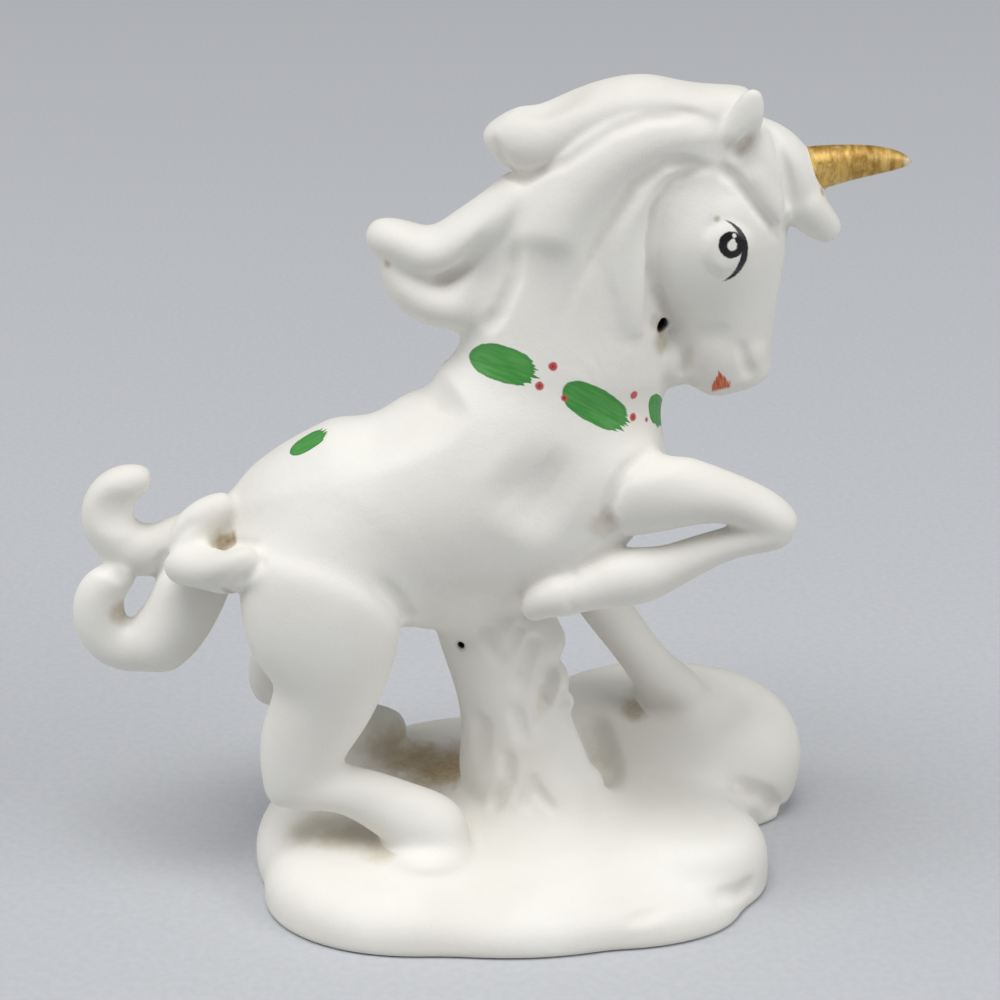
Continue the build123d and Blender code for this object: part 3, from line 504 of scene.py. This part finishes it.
def piece_mesh(name, points, quads, normals):
    """A smooth mesh object in metres."""
    mesh = bpy.data.meshes.new(name)
    mesh.vertices.add(len(points))
    mesh.vertices.foreach_set("co", (points * MM).astype("f4").ravel())
    mesh.loops.add(quads.size)
    mesh.loops.foreach_set("vertex_index", quads.astype("i4").ravel())
    mesh.polygons.add(len(quads))
    mesh.polygons.foreach_set("loop_start", np.arange(0, quads.size, 4, dtype="i4"))
    mesh.update(calc_edges=True)
    mesh.validate()
    mesh.normals_split_custom_set_from_vertices(normals)
    piece = bpy.data.objects.new(name, mesh)
    bpy.context.scene.collection.objects.link(piece)
    return piece


def cut_piece(name):
    """A node's own share of the skin, closed just under its neighbours."""
    cut, field = node_fields[name]
    index = names.index(name)
    others = np.where(owner[cut] == index, second[cut], nearest[cut])
    beyond = (field - others) / 2
    form = skin[cut] + DIVE * np.maximum(beyond, 0)
    own = np.maximum(form, beyond - OVERLAP)
    points, quads = surface(cut, own)
    slopes = [np.gradient(own, VOXEL, axis=a) for a in range(3)]
    soft = [np.gradient(skin[cut], VOXEL, axis=a) for a in range(3)]
    inner = sampled(beyond - OVERLAP - form, points, cut) > -VOXEL
    normals = np.stack([np.where(inner, sampled(s, points, cut), sampled(t, points, cut))
                        for s, t in zip(slopes, soft)], 1)
    normals /= np.maximum(np.linalg.norm(normals, axis=1, keepdims=True), 1e-6)
    a, b, c = (points[quads[:, i]] for i in range(3))
    facing = np.einsum("ij,ij->i", np.cross(b - a, c - a), normals[quads[:, 0]])
    if np.median(facing) < 0:
        quads = quads[:, ::-1]
    piece = piece_mesh(name + "_bisque", points, quads, normals)
    crease = piece.data.attributes.new("crease", "FLOAT", "POINT")
    crease.data.foreach_set("value", np.maximum(-sampled(hollow[cut], points, cut), 0))
    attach(piece, "root")
    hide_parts(name)
    return piece


pieces = {name: cut_piece(name) for name in names}


# Materials

def colour(red, green, blue):
    """A colour given as it shows on screen, 0 to 255."""
    return tuple((c / 255 / 12.92) if c < 11 else ((c / 255 + 0.055) / 1.055) ** 2.4
                 for c in (red, green, blue)) + (1.0,)


# Colours of the clay, its dirt and the painted shade in its creases, hollows and vents, its paints with a
# painted highlight on the gold, and of the studio
CLAY, CLAY_PALE, CLAY_SPECK = colour(233, 230, 222), colour(240, 238, 231), colour(222, 218, 208)
# Dust and painted shade in the creases
CREASE_DUST_AND_SHADE = colour(178, 164, 134)
# Dust and dirt at some places; painted shade in the armpit, the tail's pockets and loop, and the ear
# hollows
DUST_AND_SHADE = colour(158, 134, 92)
BUFF = colour(208, 196, 172)
BROWN = colour(174, 150, 106)
# Painted shade inside the firing vents, and the dust round their rims
VENT_SHADE, VENT_RIM = colour(26, 22, 16), colour(150, 132, 98)
LEAF, LEAF_PALE, LEAF_EDGE = colour(64, 144, 62), colour(90, 164, 82), colour(50, 126, 54)
CHERRY, CHERRY_EDGE, CHERRY_PALE = colour(172, 52, 54), colour(196, 92, 88), colour(206, 92, 94)
CHERRY_BROWN, CHERRY_DULL = colour(132, 44, 40), colour(150, 58, 52)
INK, INK_WORN = colour(14, 13, 14), colour(38, 36, 38)
MOUTH_RED, MOUTH_PALE = colour(198, 82, 50), colour(224, 134, 94)
# Gold of the horn; its palest tone is a painted highlight
GOLD, GOLD_SHADE, GOLD_HIGHLIGHT = colour(226, 188, 104), colour(168, 124, 46), colour(236, 206, 136)
GOLD_CRACK, GOLD_BLOT, GOLD_BARE = colour(120, 88, 38), colour(138, 98, 38), colour(232, 218, 188)
PAPER, PAPER_PALE = colour(190, 192, 196), colour(195, 197, 201)
SKY = colour(235, 238, 242)

# Places of the paints, as pixels. The eye's circles are right, up and radius in pixels from its place.
EYE = (731.6, 244.7)
IRIS = (0, 0, 13.2)
EYE_LIGHTS = [(0.6, -1.0, 4.9), (1.2, 3.2, 2.6), (2.6, 9.0, 2.0)]
LASH, LASH_INSIDE = (-12.9, -5.0, 30.3), (-24.0, -5.0, 34.3)
EDGE_SOFT = 0.9
HORN_TIP = (910, 162)

# The mouth's mark: place and tilt, the half width at its foot, the heights between which it widens, and
# the heights between which its top and its foot fade, in pixels from its place
MOUTH, MOUTH_TILT = (720, 379), 12
MOUTH_HALF, MOUTH_TAPER = 9.0, (9.5, -7.0)
MOUTH_TOP, MOUTH_FOOT = (10.0, 7.0), (-11.5, -8.5)

# How far before or behind its plane a mark is painted: none past the first, whole within the second
LEAF_DEPTHS, EYE_DEPTHS, MOUTH_DEPTHS = (9.0, 7.0), (6.0, 5.0), (7.0, 6.0)


class Tree:
    """One material, with short calls for its nodes. Places are in millimetres on the object."""

    def __init__(self, name):
        self.material = bpy.data.materials.new(name)
        self.material.use_nodes = True
        self.nodes = self.material.node_tree.nodes
        self.shader = self.nodes["Principled BSDF"]
        coordinates = self.nodes.new("ShaderNodeTexCoord").outputs["Object"]
        self.place = self.vector("SCALE", coordinates, factor=1 / MM)
        parts = self.nodes.new("ShaderNodeSeparateXYZ")
        self.put(parts.inputs[0], self.place)
        mirrored = self.math("MULTIPLY", self.math("ABSOLUTE", parts.outputs[1]), -1.0)
        self.near_side = self.joined(parts.outputs[0], mirrored, parts.outputs[2])

    def put(self, socket, value):
        """Links an output to a socket, or sets the socket's value."""
        if isinstance(value, bpy.types.NodeSocket):
            self.material.node_tree.links.new(value, socket)
        else:
            socket.default_value = value

    def math(self, operation, *values):
        """A number worked out from numbers."""
        node = self.nodes.new("ShaderNodeMath")
        node.operation = operation
        for socket, value in zip(node.inputs, values):
            self.put(socket, value)
        return node.outputs[0]

    def vector(self, operation, *values, factor=1.0):
        """A vector or number worked out from vectors."""
        node = self.nodes.new("ShaderNodeVectorMath")
        node.operation = operation
        for socket, value in zip(node.inputs, values):
            self.put(socket, value)
        if operation == "SCALE":
            node.inputs["Scale"].default_value = factor
        return node.outputs["Value" if operation in ("DISTANCE", "DOT_PRODUCT") else "Vector"]

    def joined(self, x, y, z=0.0):
        """A vector of three numbers."""
        node = self.nodes.new("ShaderNodeCombineXYZ")
        for socket, value in zip(node.inputs, (x, y, z)):
            self.put(socket, value)
        return node.outputs[0]

    def step(self, value, low, high):
        """A soft step from 0 at low to 1 at high."""
        node = self.nodes.new("ShaderNodeMapRange")
        node.interpolation_type = "SMOOTHSTEP"
        flip = low > high
        self.put(node.inputs[0], value)
        self.put(node.inputs[1], min(low, high))
        self.put(node.inputs[2], max(low, high))
        self.put(node.inputs[3], 1.0 if flip else 0.0)
        self.put(node.inputs[4], 0.0 if flip else 1.0)
        return node.outputs[0]

    def noise(self, place, scale, detail=3.0):
        """Cloudy noise, with a scale in features for each millimetre."""
        node = self.nodes.new("ShaderNodeTexNoise")
        self.put(node.inputs["Vector"], place)
        node.inputs["Scale"].default_value = scale
        node.inputs["Detail"].default_value = detail
        return node.outputs[0]

    def wobble(self, scale, amount, detail=3.0):
        """Noise on the object, about zero."""
        cloud = self.noise(self.place, scale, detail)
        return self.math("MULTIPLY", self.math("SUBTRACT", cloud, 0.5), amount)

    def glossier(self, gloss, share, amount):
        """A roughness that paint lowers where it lies."""
        return self.math("SUBTRACT", gloss, self.math("MULTIPLY", share, amount))

    def mix(self, share, first, other):
        """One colour laid over another."""
        node = self.nodes.new("ShaderNodeMix")
        node.data_type = "RGBA"
        self.put(node.inputs[0], share)
        self.put(node.inputs[6], first)
        self.put(node.inputs[7], other)
        return node.outputs[2]

    def local(self, point, angle=0.0, place=None):
        """Distances along, across and behind a mark, laid flat as the camera sees it."""
        offset = self.vector("SUBTRACT", place or self.near_side, tuple(point))
        length = RIGHT * math.cos(angle) + RISE * math.sin(angle)
        width = RISE * math.cos(angle) - RIGHT * math.sin(angle)
        return [self.vector("DOT_PRODUCT", offset, tuple(axis)) for axis in (length, width, AHEAD)]

    def bump(self, heights, distance):
        """Fine relief, given in millimetres."""
        node = self.nodes.new("ShaderNodeBump")
        node.inputs["Strength"].default_value = 1.0
        node.inputs["Distance"].default_value = distance * MM
        self.put(node.inputs["Height"], heights)
        self.put(self.shader.inputs["Normal"], node.outputs[0])


def pixel_size(point):
    """The width of a pixel at a point, in millimetres."""
    return float((point - EYE_POINT) @ AHEAD) / FOCAL


def leaf(pixel, length, width, degrees, both=True):
    """A green brush stroke: half sizes in pixels, turned anticlockwise."""
    point = pin(pixel)
    size = pixel_size(point)

    def paint(tree, tone, gloss):
        along, across, behind = tree.local(point, math.radians(degrees), None if both else tree.place)
        along = tree.math("DIVIDE", along, length * size)
        across = tree.math("DIVIDE", across, width * size)
        bristle = tree.joined(along, tree.math("MULTIPLY", across, 5.0), point[0])
        streaks = tree.noise(bristle, 1.1, 4.0)
        ragged = tree.math("MULTIPLY", tree.step(along, 0.55, 1.0),
                           tree.math("MULTIPLY", tree.math("SUBTRACT", streaks, 0.46), 2.4))
        reach = tree.math("ADD", tree.math("POWER", tree.math("ABSOLUTE", along), 2.6),
                          tree.math("POWER", tree.math("ABSOLUTE", across), 2.0))
        edge = tree.math("ADD", tree.math("ADD", reach, tree.wobble(0.7, 0.3)), ragged)
        share = tree.math("MULTIPLY", tree.step(edge, 1.08, 0.94),
                          tree.step(tree.math("ABSOLUTE", behind), *LEAF_DEPTHS))
        green = tree.mix(tree.step(streaks, 0.3, 0.75), LEAF, LEAF_PALE)
        green = tree.mix(tree.math("MULTIPLY", tree.step(edge, 0.55, 0.95), 0.35), green, LEAF_EDGE)
        return tree.mix(share, tone, green), tree.glossier(gloss, share, 0.18)
    return paint


def berry(pixel, radius, tint):
    """A red dot of paint, its radius in pixels."""
    point = pin(pixel)
    size = pixel_size(point) * radius

    def paint(tree, tone, gloss):
        gap = tree.vector("DISTANCE", tree.near_side, tuple(point))
        gap = tree.math("ADD", gap, tree.math("MULTIPLY", tree.noise(tree.place, 1.6), 0.24))
        share = tree.step(gap, size + 0.26, size - 0.02)
        red = tree.mix(tree.step(gap, size * 0.3, size), tint, CHERRY_EDGE)
        return tree.mix(share, tone, red), tree.glossier(gloss, share, 0.15)
    return paint


def stain_and_shade(pixel, radius, strength, tint, both=False, streaked=False):
    """A patch round a place with a ragged edge: kiln dust or dirt at some places, painted shade at others.
    """
    point = pin(pixel)

    def paint(tree, tone, gloss):
        gap = tree.vector("DISTANCE", tree.near_side if both else tree.place, tuple(point))
        gap = tree.math("SUBTRACT", gap, tree.wobble(0.4, radius * 0.8, 4.0))
        share = tree.math("MULTIPLY", tree.step(gap, radius, radius * 0.2), strength)
        grain = tree.vector("MULTIPLY", tree.place, (1.0, 1.0, 0.12)) if streaked else tree.place
        speck = tree.noise(grain, 1.4)
        share = tree.math("MULTIPLY", share, tree.math("ADD", tree.math("MULTIPLY", speck, 0.7), 0.6))
        return tree.mix(share, tone, tint), gloss
    return paint


def vent(point, radius, way):
    """The dark inside of a firing vent as painted shade, with a dusty rim round it."""
    way = way / np.linalg.norm(way)

    def paint(tree, tone, gloss):
        offset = tree.vector("SUBTRACT", tree.place, tuple(point))
        along = tree.vector("DOT_PRODUCT", offset, tuple(way))
        ring = tree.vector("DISTANCE", tree.place, tuple(point))
        aside = tree.math("SUBTRACT", tree.math("POWER", ring, 2.0), tree.math("POWER", along, 2.0))
        aside = tree.math("SQRT", tree.math("MAXIMUM", aside, 0.0))
        share = tree.math("MULTIPLY", tree.step(aside, radius + 0.12, radius - 0.12),
                          tree.step(ring, 2 * VENT_DEPTH, VENT_DEPTH + radius))
        rim = tree.math("MULTIPLY", tree.step(ring, radius * 2.2, radius), 0.3)
        tone = tree.mix(rim, tone, VENT_RIM)
        return tree.mix(share, tone, VENT_SHADE), gloss
    return paint


def eye(tree, tone, gloss):
    """The painted eye: a black iris with a white light, and a lash round its front."""
    point = pin(EYE)
    size = pixel_size(point)
    along, across, behind = tree.local(point)
    along = tree.math("DIVIDE", along, size)
    across = tree.math("DIVIDE", across, size)
    brush = tree.wobble(2.2, 2.2)

    def disc(right, up, radius):
        """How far inside a circle, as a share with a painted edge."""
        aside = tree.math("POWER", tree.math("SUBTRACT", along, right), 2.0)
        above = tree.math("POWER", tree.math("SUBTRACT", across, up), 2.0)
        gap = tree.math("SQRT", tree.math("ADD", aside, above))
        return tree.step(tree.math("ADD", gap, brush), radius + EDGE_SOFT, radius - EDGE_SOFT)

    shown = tree.step(tree.math("ABSOLUTE", behind), *EYE_DEPTHS)
    light = disc(*EYE_LIGHTS[0])
    for circle in EYE_LIGHTS[1:]:
        light = tree.math("MAXIMUM", light, disc(*circle))
    lash = tree.math("MULTIPLY", disc(*LASH), tree.math("SUBTRACT", 1.0, disc(*LASH_INSIDE)))
    black = tree.math("MULTIPLY", disc(*IRIS), tree.math("SUBTRACT", 1.0, light))
    black = tree.math("MAXIMUM", black, lash)
    black = tree.math("MULTIPLY", black, shown)
    ink = tree.mix(tree.step(tree.noise(tree.place, 3.0), 0.35, 0.75), INK, INK_WORN)
    tone = tree.mix(black, tone, ink)
    return tone, tree.glossier(gloss, black, 0.3)


def mouth(tree, tone, gloss):
    """The orange-red brush mark of the mouth: a drop that widens downwards."""
    point = pin(MOUTH)
    size = pixel_size(point)
    along, across, behind = tree.local(point, math.radians(MOUTH_TILT))
    along = tree.math("DIVIDE", along, size)
    across = tree.math("DIVIDE", across, size)
    hair = tree.joined(tree.math("MULTIPLY", along, 0.5), tree.math("MULTIPLY", across, 0.1))
    streaks = tree.noise(hair, 1.0)
    wide = tree.math("MULTIPLY", tree.step(across, *MOUTH_TAPER), MOUTH_HALF)
    edge = tree.math("SUBTRACT", tree.math("ABSOLUTE", along), wide)
    edge = tree.math("ADD", edge, tree.math("MULTIPLY", tree.math("SUBTRACT", streaks, 0.5), 7.0))
    share = tree.math("MULTIPLY", tree.step(edge, 1.2, -1.2), tree.step(across, *MOUTH_FOOT))
    share = tree.math("MULTIPLY", share, tree.step(across, *MOUTH_TOP))
    share = tree.math("MULTIPLY", share, tree.step(tree.math("ABSOLUTE", behind), *MOUTH_DEPTHS))
    red = tree.mix(tree.step(streaks, 0.35, 0.7), MOUTH_RED, MOUTH_PALE)
    return tree.mix(share, tone, red), tree.glossier(gloss, share, 0.15)


# Dust below the head's vent, and painted shade inside it
jaw_dust_and_vent_shade = [stain_and_shade((661, 341), 2.6, 0.5, DUST_AND_SHADE), stain_and_shade((655, 322), 1.6, 0.3, DUST_AND_SHADE),
            vent(head_vent, HEAD_VENT_RADIUS, HEAD_VENT_WAY)]
# Painted shade in the armpit, between the shoulder and the belly
armpit_shade = [stain_and_shade((603, 522), 3.2, 0.4, DUST_AND_SHADE)]
# Painted shade in the pocket between the tail's curls and under the side curl
tail_pocket_shade = [stain_and_shade((222, 541), 2.2, 0.8, DUST_AND_SHADE), stain_and_shade((234, 538), 1.6, 0.7, DUST_AND_SHADE),
             stain_and_shade((229, 592), 1.6, 0.5, DUST_AND_SHADE)]

# Paints, dirt and painted shade of each group of pieces, laid one over another
PAINTS = {
    "neck": [leaf((503, 364), 35, 17.5, -20), leaf((596, 406), 37, 17.5, -28),
             leaf((657, 410.5), 16, 9, -80),
             berry((553, 366.5), 4.6, CHERRY), berry((539.5, 386), 4.4, CHERRY),
             berry((564.4, 398), 3.4, CHERRY_BROWN), berry((634, 395), 4.4, CHERRY_PALE),
             berry((633, 417), 4.2, CHERRY), berry((646.5, 419.5), 2.4, CHERRY_DULL),
             leaf((308, 442.5), 21, 8, 31, False), *jaw_dust_and_vent_shade, *armpit_shade, *tail_pocket_shade],
    "head": [eye, mouth, stain_and_shade((717, 219), 0.7, 0.6, DUST_AND_SHADE, True), stain_and_shade((822, 192), 0.9, 0.6, DUST_AND_SHADE),
             # Painted shade in the hollow of each ear
             stain_and_shade((745, 142), 2.6, 0.35, DUST_AND_SHADE, True), *jaw_dust_and_vent_shade],
    # Painted shade in the armpit, in the tail's pockets and inside its loop; dust at the tip of the nape
    # lock
    "limbs": [*armpit_shade, *tail_pocket_shade, stain_and_shade((120, 612), 2.6, 0.5, DUST_AND_SHADE),
              stain_and_shade((387, 264), 1.0, 0.5, DUST_AND_SHADE, True)],
    # The brown streaks by the far hoof are stain with painted shade on the base; the trunk's vent is
    # painted shade inside
    "ground": [stain_and_shade((634, 711), 3.2, 0.6, DUST_AND_SHADE), stain_and_shade((440, 768), 9.0, 0.9, BROWN, False, True),
               stain_and_shade((400, 757), 7.0, 0.6, BROWN, False, True), stain_and_shade((310, 830), 5.0, 0.5, BUFF),
               stain_and_shade((345, 836), 5.5, 0.65, BUFF), stain_and_shade((385, 846), 4.5, 0.7, BUFF),
               vent(trunk_vent, TRUNK_VENT_RADIUS, TRUNK_VENT_WAY)],
}

# Pieces of each group. The rest are limbs.
GROUP_PIECES = {
    "neck": ("neck", "torso", "mane_drape"),
    "head": ("head", "forelock", "ear_near", "ear_far", "cheek_lock_near", "cheek_lock_far"),
    "ground": ("base", "tree_trunk", "hind_leg_far"),
}
GROUPS = {name: group for group, members in GROUP_PIECES.items() for name in members}


def bisque(name, paints):
    """Unglazed white porcelain: a fine matte grain, faint clouds of tone, and dust with painted shade in
    the creases.
    """
    tree = Tree(name)
    clouds = tree.noise(tree.place, 0.06)
    grain = tree.noise(tree.place, 3.4, 2.0)
    tone = tree.mix(tree.step(clouds, 0.3, 0.7), CLAY, CLAY_PALE)
    tone = tree.mix(tree.math("MULTIPLY", tree.step(grain, 0.58, 0.8), 0.25), tone, CLAY_SPECK)
    # Dust and painted shade, stronger in deeper creases
    crease = tree.nodes.new("ShaderNodeAttribute")
    crease.attribute_name = "crease"
    dust_and_shade = tree.math("MULTIPLY", tree.step(crease.outputs["Fac"], 0.16, 0.7), 0.26)
    dust_and_shade = tree.math("MULTIPLY", dust_and_shade, tree.step(tree.noise(tree.place, 0.35, 4.0), 0.3, 0.65))
    tone = tree.mix(dust_and_shade, tone, CREASE_DUST_AND_SHADE)
    gloss = tree.math("ADD", tree.math("MULTIPLY", grain, 0.12), 0.56)
    for paint in paints:
        tone, gloss = paint(tree, tone, gloss)
    tree.put(tree.shader.inputs["Base Color"], tone)
    tree.put(tree.shader.inputs["Roughness"], gloss)
    tree.shader.inputs["Specular IOR Level"].default_value = 0.4
    tree.bump(tree.math("ADD", grain, tree.math("MULTIPLY", tree.noise(tree.place, 0.5), 2.0)), 0.03)
    return tree.material


def gold_paint():
    """Old gold paint on the horn: brush rings, thin dark cracks and pale patches of painted highlight."""
    tree = Tree("gold_paint")
    rings = tree.noise(tree.vector("MULTIPLY", tree.place, (1.0, 0.22, 0.22)), 0.9, 4.0)
    blots = tree.noise(tree.place, 0.8, 5.0)
    cracks = tree.noise(tree.vector("MULTIPLY", tree.place, (1.4, 0.5, 0.5)), 0.6, 5.0)
    tone = tree.mix(tree.step(rings, 0.32, 0.68), GOLD_SHADE, GOLD)
    # Pale patches of painted highlight
    tone = tree.mix(tree.math("MULTIPLY", tree.step(blots, 0.5, 0.72), 0.55), tone, GOLD_HIGHLIGHT)
    lines = tree.step(tree.math("ABSOLUTE", tree.math("SUBTRACT", cracks, 0.5)), 0.03, 0.004)
    tone = tree.mix(tree.math("MULTIPLY", lines, 0.3), tone, GOLD_CRACK)
    tone = tree.mix(tree.math("MULTIPLY", tree.step(blots, 0.42, 0.28), 0.6), tone, GOLD_BLOT)
    tip = tree.vector("DISTANCE", tree.place, tuple(pin(HORN_TIP)))
    worn = tree.math("ADD", tip, tree.math("MULTIPLY", tree.noise(tree.place, 1.2), 1.6))
    tone = tree.mix(tree.step(worn, 2.3, 1.3), tone, GOLD_BARE)
    tree.put(tree.shader.inputs["Base Color"], tone)
    tree.put(tree.shader.inputs["Roughness"], tree.math("ADD", tree.math("MULTIPLY", blots, 0.3), 0.3))
    tree.shader.inputs["Metallic"].default_value = 0.35
    tree.bump(tree.math("ADD", rings, tree.math("MULTIPLY", cracks, 0.6)), 0.12)
    return tree.material


finishes = {group: bisque("bisque_" + group, paints) for group, paints in PAINTS.items()}
finishes["gold"] = gold_paint()
for name, piece in pieces.items():
    piece.data.materials.append(finishes["gold" if name == "horn" else GROUPS.get(name, "limbs")])


# Floor, light and camera

FLOOR_HALF = 3.0
SENSOR = 36
SKY_STRENGTH = 0.2

# Lamps: name, kind, place in metres, power, and the size of an area or the angle of a sun
LAMPS = [
    ("key", "SUN", (-0.12, -0.24, 0.88), 1.85, 0.7),
    ("right", "AREA", (0.66, -0.36, 0.55), 2.6, 0.5),
    ("left", "AREA", (-0.72, -0.1, 0.5), 1.8, 0.5),
]

floor_mesh = bpy.data.meshes.new("floor")
floor_corners = [(x * FLOOR_HALF, y * FLOOR_HALF, 0) for x, y in ((-1, -1), (1, -1), (1, 1), (-1, 1))]
floor_mesh.from_pydata(floor_corners, [], [(0, 1, 2, 3)])
floor = bpy.data.objects.new("floor", floor_mesh)
bpy.context.scene.collection.objects.link(floor)
paper = Tree("paper")
grey = paper.step(paper.noise(paper.place, 0.8, 5.0), 0.3, 0.7)
fibre = paper.mix(grey, PAPER, PAPER_PALE)
paper.put(paper.shader.inputs["Base Color"], fibre)
paper.shader.inputs["Roughness"].default_value = 0.9
floor_mesh.materials.append(paper.material)


def lamp(name, kind, place, power, size):
    """A soft lamp aimed at the figure: an area of that size, or a sun of that angle."""
    light = bpy.data.lights.new(name, kind)
    setattr(light, "angle" if kind == "SUN" else "size", size)
    light.energy = power
    lamp_object = bpy.data.objects.new(name, light)
    lamp_object.location = place
    aim = Vector(TARGET * MM) - Vector(place)
    lamp_object.rotation_euler = aim.to_track_quat("-Z", "Y").to_euler()
    bpy.context.scene.collection.objects.link(lamp_object)


for settings in LAMPS:
    lamp(*settings)
world = bpy.data.worlds.new("studio")
world.use_nodes = True
world.node_tree.nodes["Background"].inputs["Color"].default_value = SKY
world.node_tree.nodes["Background"].inputs["Strength"].default_value = SKY_STRENGTH
bpy.context.scene.world = world
bpy.context.scene.view_settings.view_transform = "Standard"

camera_data = bpy.data.cameras.new("camera")
camera_data.sensor_width = SENSOR
camera_data.lens = SENSOR * FOCAL / IMAGE
camera = bpy.data.objects.new("camera", camera_data)
camera.location = EYE_POINT * MM
camera.rotation_euler = (math.pi / 2 - ELEVATION, 0, 0)
bpy.context.scene.collection.objects.link(camera)
bpy.context.scene.camera = camera
